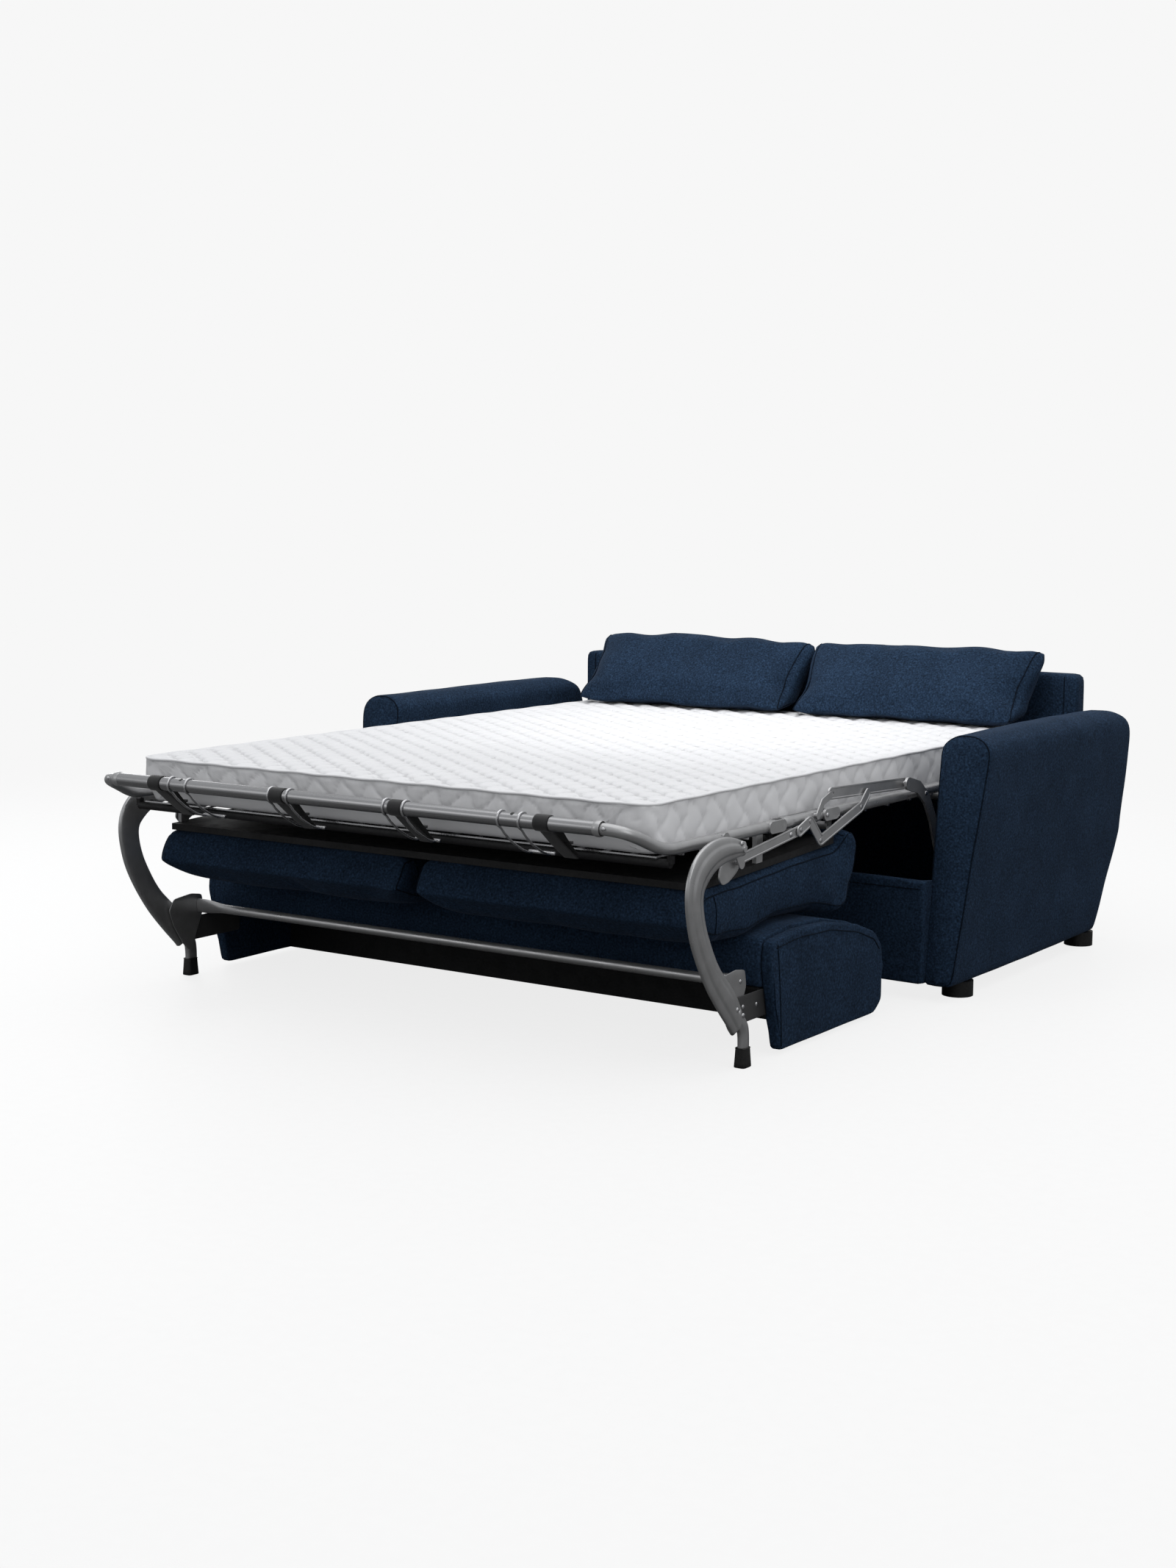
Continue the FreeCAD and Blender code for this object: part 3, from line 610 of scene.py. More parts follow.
def painted_steel(name, colour, rough=0.32, metal=0.75):
    """Satin metallic paint: fine orange peel, slow changes of gloss and a few rubbed lighter marks."""
    material, tree, shader, spots = blank(name, {"Metallic": metal, "Specular IOR Level": 0.5})
    base = np.array(colour)
    rub = noise(tree, spots, 38.0, 6.0)
    paint = tones(tree, rub, [(0.30, base * 0.93), (0.55, base), (0.80, base * 1.12)])
    tree.links.new(paint, shader.inputs["Base Color"])
    tree.links.new(span(tree, noise(tree, spots, 22.0, 4.0), rough - 0.06, rough + 0.08),
                   shader.inputs["Roughness"])
    raised(tree, shader, noise(tree, spots, 420.0, 2.0), 0.06, 0.0008)
    return material


def brushed_steel(name, colour, rough, stretch):
    """Bare drawn tube: fine streaks along its length in shade and gloss."""
    material, tree, shader, spots = blank(name, {"Metallic": 1.0})
    base = np.array(colour)
    lines = noise(tree, spots, 1.0, 4.0, stretch)
    tree.links.new(tones(tree, lines, [(0.25, base * 0.9), (0.5, base), (0.8, base * 1.1)]),
                   shader.inputs["Base Color"])
    tree.links.new(span(tree, lines, rough - 0.08, rough + 0.12), shader.inputs["Roughness"])
    raised(tree, shader, lines, 0.08, 0.0004)
    return material


def plain_black(name, colour, rough, grain, depth, sheen=0.0):
    """Dark rubber, board or webbing with a grain of the given scale."""
    material, tree, shader, spots = blank(name, {"Specular IOR Level": 0.35, "Sheen Weight": sheen})
    base = np.array(colour)
    tree.links.new(tones(tree, noise(tree, spots, grain, 4.0), [(0.3, base * 0.6), (0.7, base * 1.5)]),
                   shader.inputs["Base Color"])
    tree.links.new(span(tree, noise(tree, spots, 30.0), rough - 0.08, rough + 0.08),
                   shader.inputs["Roughness"])
    raised(tree, shader, noise(tree, spots, grain * 2.0), 0.4, depth)
    return material


finishes = {}


def finish_for(slot):
    """The finished material of a named slot, made once."""
    scene = bpy.context.scene
    cover, mattress, metal = scene.sofabed_cover, scene.sofabed_mattress, scene.sofabed_metal
    makers = {
        "fabric_navy": lambda: woven_cloth("navy_cloth", cover.colour, cover.fleck),
        # painted shade: the welts are the same navy cloth darkened to 0.3, standing in for the shade along
        # the seams
        "seam": lambda: woven_cloth("navy_seam_shade", np.array(cover.colour) * 0.30, cover.fleck),
        "mattress_white": lambda: ticking("white_ticking", mattress.colour),
        "frame_paint": lambda: painted_steel("grey_paint", metal.paint),
        "link_steel": lambda: painted_steel("grey_link", np.array(metal.paint) * 1.12, 0.34, 0.8),
        "bow_steel": lambda: brushed_steel("drawn_tube", metal.steel, 0.24, (3.0, 2200.0, 2200.0)),
        "wire_steel": lambda: brushed_steel("bright_wire", np.array(metal.steel) * 1.6, 0.24,
                                            (300.0, 40.0, 40.0)),
        "board_black": lambda: plain_black("black_board", (0.008, 0.008, 0.009), 0.62, 160.0, 0.0006),
        "rubber_black": lambda: plain_black("black_rubber", (0.012, 0.012, 0.012), 0.5, 300.0, 0.0003),
        "webbing_black": lambda: plain_black("black_webbing", (0.011, 0.011, 0.012), 0.6, 500.0, 0.0008,
                                             0.2),
        "bracket_grey": lambda: painted_steel("grey_bracket", np.array(metal.paint) * 0.20, 0.45, 0.5),
        "foot_black": lambda: plain_black("black_foot", (0.010, 0.010, 0.010), 0.42, 220.0, 0.0002),
    }
    if slot not in finishes:
        finishes[slot] = makers[slot]()
    return finishes[slot]


def settle(thing, body, slot, *nodes):
    """Rides a piece on its body and hides the frame nodes it stands for; with no body, the piece is left
    unattached. The slot is not used."""
    if body:
        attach(thing, body)
    if nodes:
        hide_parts(*nodes)
    return thing


def upholster(name, node_name, body, grid, wear, crease=42.0):
    """A padded navy cover from its grid; wear is the seed, size and height of its unevenness."""
    made = piece(name, [ripple(grid, *wear)], finish_for("fabric_navy"), crease=crease)
    settle(made, body, "fabric_navy", node_name)
    return made


def painted(name, grids, body, *nodes, crease=42.0):
    """A piece of painted steel on its body."""
    return settle(piece(name, grids, finish_for("frame_paint"), crease=crease), body, "frame_paint", *nodes)


def bright(name, grids, body, *nodes):
    """A piece of bright steel on its body."""
    return settle(piece(name, grids, finish_for("wire_steel")), body, "wire_steel", *nodes)


def both_sides(grids):
    """The grids, and the same ones mirrored across the middle."""
    return list(grids) + [g * np.array([-1.0, 1.0, 1.0]) for g in grids]


def rivets(name, body, spots, radius, height):
    """Rivet heads at (x, y, z) on the right side, facing out, and the same on the left."""
    heads = []
    for side in SIDES:
        heads += domes([place(side * x, y, z) for x, y, z in spots], radius, height, (side, 0.0, 0.0))
    bright(name, heads, body)


# ---------------------------------------------------------------- stage
class SOFABED_OT_stage(bpy.types.Operator):
    """Camera, pale floor and soft light"""
    bl_idname = "sofabed.stage"
    bl_label = "Stage"

    def execute(self, context):
        scene, stage = context.scene, context.scene.sofabed_stage
        scene.view_settings.view_transform = "Standard"
        camera = bpy.data.objects.new("camera", bpy.data.cameras.new("camera"))
        scene.collection.objects.link(camera)
        camera.data.lens, camera.data.sensor_width = stage.lens, 36.0
        camera.data.clip_end = 200.0
        sy, cy = math.sin(stage.yaw), math.cos(stage.yaw)
        sp, cp = math.sin(stage.pitch), math.cos(stage.pitch)
        ahead, right = Vector((-sy * cp, cy * cp, -sp)), Vector((cy, sy, 0.0))
        up = right.cross(ahead)
        across = right * math.cos(stage.roll) + up * math.sin(stage.roll)
        upward = up * math.cos(stage.roll) - right * math.sin(stage.roll)
        turn = Matrix((across, upward, -ahead)).transposed()
        camera.matrix_world = Matrix.Translation(Vector(stage.eye)) @ turn.to_4x4()
        scene.camera = camera
        self.world(scene, stage)
        self.floor(stage)
        self.lamp("overhead", (0.3, 0.0, 3.6), (0.0, 0.1, 0.0), 4.4, stage.overhead)
        self.lamp("side", (4.6, -1.6, 2.7), (0.2, -0.1, 0.3), 2.4, stage.key)
        self.lamp("front", (-3.2, -5.0, 2.0), (0.0, -0.2, 0.4), 2.0, 0.5 * stage.key)
        self.lamp("head", (0.1, -0.45, 1.75), (0.0, 1.0, 0.68), 1.0, 0.14 * stage.key, 90.0)
        self.lamp("grazing", (-4.2, 1.6, 1.9), (0.0, -0.1, 0.55), 1.4, 0.8 * stage.key)
        return {"FINISHED"}

    def world(self, scene, stage):
        """Even light all round, twice as strong from above; the camera sees the pale background."""
        scene.world = bpy.data.worlds.new("surround")
        scene.world.use_nodes = True
        tree = scene.world.node_tree
        tree.nodes.clear()
        ray = node(tree, "LightPath").outputs["Is Camera Ray"]
        way = node(tree, "TexCoord").outputs["Generated"]
        height = node(tree, "SeparateXYZ", links={"Vector": way}).outputs["Z"]
        above = node(tree, "MapRange", {"From Min": -0.1, "From Max": 0.9,
                                        "To Min": 1.02 * stage.fill, "To Max": 2.0 * stage.fill},
                     {"Value": height}, interpolation_type="SMOOTHSTEP").outputs["Result"]
        seen = node(tree, "Background", {"Color": (1.0, 1.0, 1.0, 1.0), "Strength": stage.backdrop})
        light = node(tree, "Background", {"Color": (0.97, 0.985, 1.0, 1.0)}, {"Strength": above})
        mix = node(tree, "MixShader", links={0: ray, 1: light.outputs[0], 2: seen.outputs[0]})
        node(tree, "OutputWorld", links={"Surface": mix.outputs[0]})

    def floor(self, stage):
        """A round pale floor that fades into the background away from the bed."""
        turn = whole_turn(96)
        radius = np.array([0.0, 2.0, 4.0, 8.0, 30.0])[:, None]
        grid = np.stack([radius * np.cos(turn), radius * np.sin(turn), np.zeros_like(radius * turn)], -1)
        material, tree, shader, spots = blank("pale_floor", {
            "Roughness": 0.6, "Specular IOR Level": 0.1, "Emission Color": (1.0, 1.0, 1.0, 1.0)})
        grain = tones(tree, noise(tree, spots, 40.0), [(0.3, (0.13, 0.13, 0.13)), (0.7, (0.14, 0.14, 0.14))])
        seen = node(tree, "LightPath").outputs["Is Camera Ray"]
        glow = node(tree, "Math", {1: stage.glow}, {0: seen}, operation="MULTIPLY").outputs[0]
        tree.links.new(glow, shader.inputs["Emission Strength"])
        tree.links.new(grain, shader.inputs["Base Color"])
        reach = node(tree, "VectorMath", links={0: spots}, operation="LENGTH").outputs["Value"]
        fade = node(tree, "MapRange", {"From Min": 2.2, "From Max": 5.0}, {"Value": reach},
                    interpolation_type="SMOOTHSTEP").outputs["Result"]
        clear = node(tree, "BsdfTransparent")
        mix = node(tree, "MixShader", links={0: fade, 1: shader.outputs[0], 2: clear.outputs[0]})
        tree.links.new(mix.outputs[0], tree.nodes["Material Output"].inputs["Surface"])
        made = piece("floor", [grid], material)
        mesh = made.data
        if mesh.polygons[0].normal.z < 0.0:
            mesh.flip_normals()

    def lamp(self, name, where, aim, size, power, spread=180.0):
        """A square softbox at a place, aimed at a point, with a grid that narrows it to its spread."""
        light = bpy.data.lights.new(name, "AREA")
        light.size, light.energy, light.spread = size, power, math.radians(spread)
        thing = bpy.data.objects.new(name, light)
        thing.location = where
        thing.visible_camera = False
        thing.rotation_euler = (Vector(aim) - Vector(where)).to_track_quat("-Z", "Y").to_euler()
        bpy.context.scene.collection.objects.link(thing)


class SOFABED_OT_finishes(bpy.types.Operator):
    """Finishes of the frame's own pieces"""
    bl_idname = "sofabed.finishes"
    bl_label = "Frame finishes"

    def execute(self, context):
        for thing in frame["nodes"].values():
            for slot in thing.material_slots:
                base = slot.material.name.split(".")[0] if slot.material else ""
                if thing.name in DARK_PIECES:
                    base = "board_black"
                if base in FRAME_SLOTS:
                    slot.material = finish_for(base)
        return {"FINISHED"}


# ---------------------------------------------------------------- arms, back and plinth
class SOFABED_OT_arms(bpy.types.Operator):
    """Padded arms with an arched front panel and a leaning outer side"""
    bl_idname = "sofabed.arms"
    bl_label = "Arms"

    def execute(self, context):
        for name, side in (("arm_right", 1.0), ("arm_left", -1.0)):
            low, high = drawn_box(name)
            inner, outer = sorted((abs(low[0]), abs(high[0])))
            base, top, back = low[2], high[2], high[1]
            width, length = outer - inner, back - ARM_FRONT
            outline = [(inner, base), (inner + 0.58 * width, base), (outer, top - 0.36 * width),
                       (outer - 0.04 * width, top - 0.17 * width), (inner + 0.72 * width, top),
                       (inner + 0.28 * width, top), (inner, top - 0.2 * width)]
            tips = ((inner + 0.29 * width, base), (inner + 0.5 * width, top))
            section = ring(outline, 9.0, 9.0, tips)
            rings, along = padded_form(section, 0.0, length, 14.0, (9.0, 12.0), (7.0, 4.0), 1.5)
            height = rings.imag
            front = ARM_FRONT + ARM_LEAN * np.clip((height - base) / (top - base), 0.0, 1.0)
            depth = front + (self.rear(height, top, back) - front) * along / length
            made = upholster(name + "_cover", name, "base", place(side * rings.real, depth, height),
                             (11, 0.21, 0.0016), crease=50.0)
            edge = section - 2.0 * (section - section.mean()) / np.abs(section - section.mean())
            start = ARM_FRONT + ARM_LEAN * (edge.imag - base) / (top - base)
            path = place(side * edge.real, start + 3.0, edge.imag)
            welt(name + "_front_welt", made, [path], 1.1, "base")
        return {"FINISHED"}

    def rear(self, height, top, back):
        """Where the arm ends at a height: a quarter circle at the top corner, r (1 - sqrt(1 - u^2)) off
        the back with u from 0 to 1 up the corner, and a heel that slopes forward towards the floor."""
        rise = np.clip((height - (top - ARM_ROUND)) / ARM_ROUND, 0.0, 1.0)
        heel = np.clip(HEEL_TOP - height, 0.0, HEEL_HIGH) * HEEL_DEEP / HEEL_HIGH
        return back - ARM_ROUND * (1.0 - np.sqrt(1.0 - rise ** 2)) - heel


class SOFABED_OT_back(bpy.types.Operator):
    """Upholstered back panel and the panel below the mattress"""
    bl_idname = "sofabed.back"
    bl_label = "Back and plinth"

    def execute(self, context):
        self.back()
        self.plinth()
        return {"FINISHED"}

    def rings(self, box, spare, corner, crown):
        """Rings of a flat padded panel, wider than its node's box by spare on each side."""
        (_, front, base), (half, back, top) = box
        reach = half + spare
        outline = [(-reach, base), (reach, base), (reach, top), (-reach, top)]
        middle = 0.5 * (base + top)
        section = ring(outline, 12.0, corner, ((-half, middle), (half, middle)))
        rounding = min(12.0, 0.3 * (back - front))
        return padded_form(section, front, back, 9.0, (rounding, rounding), (crown, crown), 0.0, 14)

    def back(self):
        """Back panel, with an upright seam near each end, front and rear."""
        box = drawn_box("back_panel")
        (_, front, base), (half, back, top) = box
        rings, along = self.rings(box, 0.0, 14.3, 3.0)
        made = upholster("back_cover", "back_panel", "base", place(rings.real, along, rings.imag),
                         (23, 0.3, 0.0012))
        z = np.linspace(base + 30.0, top - 4.0, 60)
        paths = [place(x, y, z) for x in (-0.955 * half, 0.955 * half) for y in (front - 4.0, back + 4.0)]
        welt("back_cover_welt", made, paths, 0.8, "base", closed=False)

    def plinth(self):
        """Panel below the mattress; its ends return 38 mm backwards inside the arms."""
        box = drawn_box("plinth")
        (_, front, _), (half, back, top) = box
        rings, along = self.rings(box, 4.0, 3.85, 0.8)
        at_end = smooth((np.abs(rings.real) - (half - 9.0)) / 6.0)
        along = along + 38.0 * at_end * smooth((along - front) / (back - front))
        made = upholster("plinth_cover", "plinth", "base", place(rings.real, along, rings.imag),
                         (23, 0.3, 0.0012))
        x = np.linspace(-half + 6.0, half - 6.0, 80)
        welt("plinth_cover_welt", made, [place(x, front - 2.0, top - 20.0)], 0.8, "base", closed=False)


# ---------------------------------------------------------------- cushions
def cushion(name, body, outline, tips, ends, edge, crown, belly, inset, pinch, share, seed, uneven):
    """A stuffed cushion from its side outline, between its ends, started a little small and then
    stuffed. Gives it with its started outline."""
    section = ring(outline, 10.0, 7.0, tips)
    section = section - inset * outward(section)
    rings, along = padded_form(section, ends[0] + inset, ends[1] - inset, 12.0, (edge, edge),
                               (crown, crown), belly, pinch=pinch)
    grid = ripple(place(along, rings.real, rings.imag), seed, 0.17, uneven)
    made = piece(name + "_cover", [grid], finish_for("fabric_navy"), crease=60.0)
    cover = bpy.context.scene.sofabed_cover
    stuffed(made, cover.swell * share, cover.frames)
    settle(made, body, "fabric_navy", name)
    return made, section


def end_seams(name, made, section, ends, inset, share, body):
    """The sewn edge round both ends of a cushion, this far in from them."""
    paths = [place(x, section.real, section.imag) for x in (ends[0] + inset, ends[1] - inset)]
    welt(name + "_welt", made, paths, share, body)


class SOFABED_OT_seat_cushions(bpy.types.Operator):
    """Two seat cushions hung upside down under the foot section"""
    bl_idname = "sofabed.seat_cushions"
    bl_label = "Seat cushions"

    def execute(self, context):
        (y0, z0), (y1, z1) = BOARD_LINE
        for index, (name, ends) in enumerate((("seat_cushion_left", (-765.0, -8.0)),
                                              ("seat_cushion_right", (8.0, 765.0)))):
            made, section = cushion(name, "foot", SEAT_OUTLINE, ((-160, 338), (520, 440)), ends, edge=9.0,
                                    crown=5.0, belly=1.0, inset=5.0, pinch=0.0, share=0.8,
                                    seed=31 + index, uneven=0.0022)
            points = points_of(made)
            y, z = points[:, 1] * 1000 + MIDDLE_Y, points[:, 2] * 1000
            board = z0 + (y - y0) * (z1 - z0) / (y1 - y0) - 1.2
            under = smooth((466.0 - y) / 12.0)
            points[:, 2] = np.where(z > board, z - (z - board) * under, z) * 0.001
            put_points(made, points)
            end_seams(name, made, section, ends, 6.0, 1.0, "foot")
            front = np.linspace(0.0, 1.0, 30)
            lines = [place(x, -72.0 - 6.0 * front, 272.0 + 100.0 * front) for x in ends]
            along = np.linspace(ends[0] + 6.0, ends[1] - 6.0, 60)
            lines += [place(along, 500.0, 262.0), place(along, 470.0, 430.0)]
            welt(name + "_seams", made, lines, 0.8, "foot", closed=False)
        return {"FINISHED"}


class SOFABED_OT_back_cushions(bpy.types.Operator):
    """Two loose back cushions behind the mattress"""
    bl_idname = "sofabed.back_cushions"
    bl_label = "Back cushions"

    def execute(self, context):
        for index, (name, body, ends) in enumerate((
                ("back_cushion_left", "cushion_left", (-690.0, 18.0)),
                ("back_cushion_right", "cushion_right", (26.0, 711.0)))):
            made, section = cushion(name, body, BACK_CUSHION, ((1490, 574), (1690, 786)), ends, edge=8.0,
                                    crown=3.0, belly=2.0, inset=4.0, pinch=0.58, share=0.6,
                                    seed=51 + index, uneven=0.0042)
            points = points_of(made)
            share = (points[:, 0] * 1000 - 0.5 * (ends[0] + ends[1])) / (0.5 * (ends[1] - ends[0]))
            put_points(made, self.softened(points, share, index))
            end_seams(name, made, section, ends, 10.0, 1.1, body)
        return {"FINISHED"}

    def softened(self, points, share, index):
        """Slack of a loose cushion, by the share along it from -1 to 1: the top dips 9 |share|^3 mm
        towards the ends with a slow wave, its corners drop and stand out as ears, and the front sinks
        beside the ends. Nothing goes below the mattress's top."""
        far, z = np.abs(share), points[:, 2] * 1000
        top = smooth((z - 690.0) / 90.0)
        dip = 9.0 * far ** 3 + 3.0 * np.sin(3.1 * np.pi * share + index) * (1.0 - share ** 2)
        corner = 9.0 * smooth((far - 0.86) / 0.14)
        points[:, 2] -= 0.001 * (dip + corner) * top
        ear = smooth((far - 0.72) / 0.26) * smooth((z - 655.0) / 110.0)
        points[:, 0] += 0.001 * 17.0 * np.sign(share) * ear
        sunk = smooth((far - 0.70) / 0.22) * smooth((0.985 - far) / 0.06)
        points[:, 1] += 0.001 * 11.0 * sunk * np.exp(-((z - 640.0) / 60.0) ** 2)
        points[:, 2] = np.maximum(points[:, 2], 0.001 * (MATTRESS[-1] + 1.5))
        return points


class SOFABED_OT_backrest(bpy.types.Operator):
    """Backrest box between the legs: two side panels, crowned pad and rear pad"""
    bl_idname = "sofabed.backrest"
    bl_label = "Backrest"

    def execute(self, context):
        side_outline = [(113, 10), (548, 10), (582, 34)] + BACKREST_TOP[::-1]
        section = ring(side_outline, 9.0, 8.0, ((100, 110), (570, 110)))
        inner, outer = SIDE_PANEL
        for name, low, high in (("backrest_side_right", inner, outer),
                                ("backrest_side_left", -outer, -inner)):
            rings, along = padded_form(section, low, high, 9.0, (6.0, 6.0), (2.5, 2.5), 0.0, 14)
            made = upholster(name + "_cover", name, "backrest", place(along, rings.real, rings.imag),
                             (71, 0.2, 0.0012))
            self.side_seams(name, made, section, high + 5.0 if high > 0 else low - 5.0)
        pads = (("backrest_pad", [(69, 149), (564, 149), (560, 188), (520, 210), (460, 232), (331, 259),
                                  (184, 267), (76, 254), (64, 200)], ((66, 190), (562, 170))),
                ("backrest_rear_pad", [(349, 10), (548, 10), (582, 34), (582, 148), (349, 148)],
                 ((349, 80), (582, 90))))
        for name, outline, tips in pads:
            rings, along = padded_form(ring(outline, 10.0, 7.0, tips), 1.0 - inner, inner - 1.0, 16.0,
                                       (4.0, 4.0), (0.0, 0.0), 0.5)
            upholster(name + "_cover", name, "backrest", place(along, rings.real, rings.imag),
                      (77, 0.24, 0.0014))
        return {"FINISHED"}

    def side_seams(self, name, made, section, x):
        """A seam below the box side's top edge, and one up its front."""
        drawn = section - SEAM_DEPTH * outward(section)
        start, stop = sorted(int(np.argmin(np.abs(drawn - complex(*corner))))
                             for corner in ((90, 232), (563, 160)))
        keep = drawn[start:stop]
        upright = np.linspace(20.0, 240.0, 40)
        paths = [place(x, keep.real, keep.imag), place(x, 118.0 - 22.0 * upright / 240.0, upright)]
        welt(name + "_seams", made, paths, 0.8, "backrest", closed=False)


# ---------------------------------------------------------------- mattress
def creases(value, depth):
    """Quilted height between stitch lines, where value v crosses nought: domes |v|^0.42 of the given
    depth, less a narrow groove of 0.55 exp(-(v / 0.1)^2) along the line."""
    return np.abs(value) ** 0.42 * depth - depth * 0.55 * np.exp(-(value / 0.10) ** 2)


def quilted(points, weight_top, weight_border, run, out, quilt):
    """Moves the mattress's skin by its quilting. Its top has onion-shaped cells: the stitch lines are
    cos(a) + cos(b + 0.4 sin 2b) = 0, with a across and b along the bed. Its border has waved diamonds,
    cos(a) + cos(b) = 0, with a along the border and b up it."""
    a = np.pi * points[..., 0] / (0.5 * quilt.cell_width)
    b = np.pi * points[..., 1] / (0.5 * quilt.cell_length)
    value = 0.5 * (np.cos(a) + np.cos(b + 0.4 * np.sin(2.0 * b)))
    top = creases(value, quilt.puff)
    # painted shade in the top's quilting grooves, darkest on the stitch lines
    stitch_shade = 0.8 * weight_top * np.exp(-(value / 0.13) ** 2)
    wave = 0.006 * np.sin(points[..., 2] * 95.0 + run * 11.0)
    a = np.pi * (run + wave) / quilt.border_cell
    b = np.pi * points[..., 2] / (1.25 * quilt.border_cell)
    value = 0.5 * (np.cos(a) + np.cos(b))
    border = creases(value, quilt.border_puff)
    # painted shade in the border's quilting grooves
    stitch_shade = stitch_shade + 0.32 * weight_border * np.exp(-(value / 0.06) ** 2)
    moved = points.copy()
    moved[..., 2] += weight_top * (top - quilt.puff)
    moved += (weight_border * (border - quilt.border_puff * 0.8))[..., None] * out
    return moved, np.clip(stitch_shade, 0.0, 1.0)


class SOFABED_OT_mattress(bpy.types.Operator):
    """Quilted mattress in three sections, laid flat, with piped edges"""
    bl_idname = "sofabed.mattress"
    bl_label = "Mattress"

    def execute(self, context):
        quilt = context.scene.sofabed_mattress
        grain = quilt.grain * 1000
        half, front, back, low, high = MATTRESS
        ticking_white = finish_for("mattress_white")
        first, second = MATTRESS_SPLITS
        parts = (("mattress_front", front, first, "foot", "link", "fold",
                  ("mattress_foot", "mattress_front_folds")),
                 ("mattress_centre", first, second, "link", "middle", "link_fold",
                  ("mattress_link", "mattress_middle")),
                 ("mattress_head_part", second, back, "middle", "head", "head_fold",
                  ("mattress_rear_fold", "mattress_head")))
        outline = [(-half, low), (half, low), (half, high), (-half, high)]
        middle = 0.5 * (low + high)
        section = ring(outline, grain, 9.0, ((-half, middle), (half, middle)))
        for name, y0, y1, body_a, body_b, joint, nodes in parts:
            ends = (16.0 if y0 == front else 0.0, 16.0 if y1 == back else 0.0)
            rings, along = padded_form(section, y0, y1, grain, ends, (0.0, 0.0), 0.0, 8)
            grid, stitch_shade = self.shape(rings.real, along, rings.imag, quilt)
            made = settle(piece(name, [grid], ticking_white, crease=50.0, weld=2e-6, marks=stitch_shade), None,
                          "mattress_white", *nodes)
            cord = piece(name + "_piping", self.piping(y0, y1), ticking_white)
            settle(cord, None, "mattress_white")
            for soft in (made, cord):
                place(0.0, HINGE_Y[joint] - FOLD_ZONE, RAIL_Z)
                place(0.0, HINGE_Y[joint] + FOLD_ZONE, RAIL_Z)
                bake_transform(soft)
        return {"FINISHED"}

    def shape(self, x, y, z, quilt):
        """Skin of the mattress. Plan corners are quarter circles; the top is crowned by 1 - |x/half|^5;
        the front's lower 62 mm draw back by up to 30 mm; top and border are quilted by weights that
        fade over their edges; and a band below the top edge is gathered by a squared sine along it."""
        half, front, back, low, high = MATTRESS
        for gap_to_end in (y - front, back - y):
            t = np.clip(gap_to_end, 0.0, CORNER) / CORNER
            x = x * (1.0 - CORNER / half * (1.0 - np.sqrt(1.0 - (1.0 - t) ** 2)))
        crown = 5.0 * (1.0 - np.abs(x / half) ** 5) * smooth((y - front) / 120.0) * smooth((back - y) / 120.0)
        z = z - (5.0 - crown) * smooth((z - low) / (high - low)) * 0.8
        tuck = smooth((low + 62.0 - z) / 62.0) * smooth((front + 90.0 - y) / 90.0)
        y = y + 30.0 * tuck
        points = place(x, y, z)
        top_weight = smooth((z - (high - 17.0)) / 9.0)
        near_side = smooth((np.abs(x) - (half - 30.0)) / 26.0)
        near_front = smooth((front + 30.0 - y) / 26.0)
        near_back = smooth((y - (back - 30.0)) / 26.0)
        edge = np.maximum(np.maximum(near_side, near_front), near_back)
        border_weight = edge * (1.0 - tuck)
        border_weight = border_weight * smooth((high - 8.0 - z) / 12.0) * smooth((z - low - 4.0) / 14.0)
        inside = 1.0 - edge * smooth((high - 3.0 - z) / 4.0)
        out = np.stack([np.sign(x) * near_side, near_back - near_front, np.zeros_like(x)], -1)
        length = np.maximum(np.linalg.norm(out, axis=-1, keepdims=True), 1e-6)
        out = out / length
        run = np.where(near_front + near_back > near_side, x * 0.001, y * 0.001)
        top_weight = top_weight * inside * (1.0 - 0.75 * edge)
        points, stitch_shade = quilted(points, top_weight, border_weight, run, out, quilt)
        pucker = 0.0022 * np.sin(run * 2.0 * np.pi / 0.031 + 2.0 * np.sin(run * 23.0)) ** 2
        band = edge * np.exp(-((z - (high - 22.0)) / 13.0) ** 2)
        return ripple(points - (pucker * band)[..., None] * out, 5, 0.26, 0.0016), stitch_shade

    def piping(self, y0, y1):
        """Thin piping along the top and bottom edges of one section, with a slow wave. At the front the
        lower piping stops where the edge draws back."""
        half, front, back, low, high = MATTRESS
        grids = []
        for z, inside, wavy in ((high - 9.0, 1.0, 0.6), (low + 5.0, 2.0, 0.2)):
            x = half - inside
            if y0 == front and z > low + 20.0:
                runs = [self.round_end(x, y1, front + inside, 1.0)]
            elif y0 == front:
                runs = [[(side * x, y1), (side * x, front + 90.0)] for side in (-1.0, 1.0)]
            elif y1 == back:
                runs = [self.round_end(x, y0, back - inside, -1.0)]
            else:
                runs = [[(side * x, y0), (side * x, y1)] for side in (-1.0, 1.0)]
            for run in runs:
                line = eased(run, 8.0, 9.0)
                wave = 1.3 * np.sin(line[:, 0] * 0.051) + 1.0 * np.sin(line[:, 1] * 0.043 + 1.0)
                grids.append(swept(place(line[:, 0], line[:, 1], z + wave * wavy), UPWARD,
                                   0.001 * PIPING_R, 0.001 * PIPING_R, sides=10))
        return grids

    def round_end(self, x, y_open, y_end, inward):
        """Along one side, round the two corners of an end and back along the other side."""
        near = [(x, y_open), (x, y_end + inward * CORNER), (x - 12.0, y_end + inward * 12.0),
                (x - CORNER, y_end)]
        return [(-across, y) for across, y in near] + near[::-1]


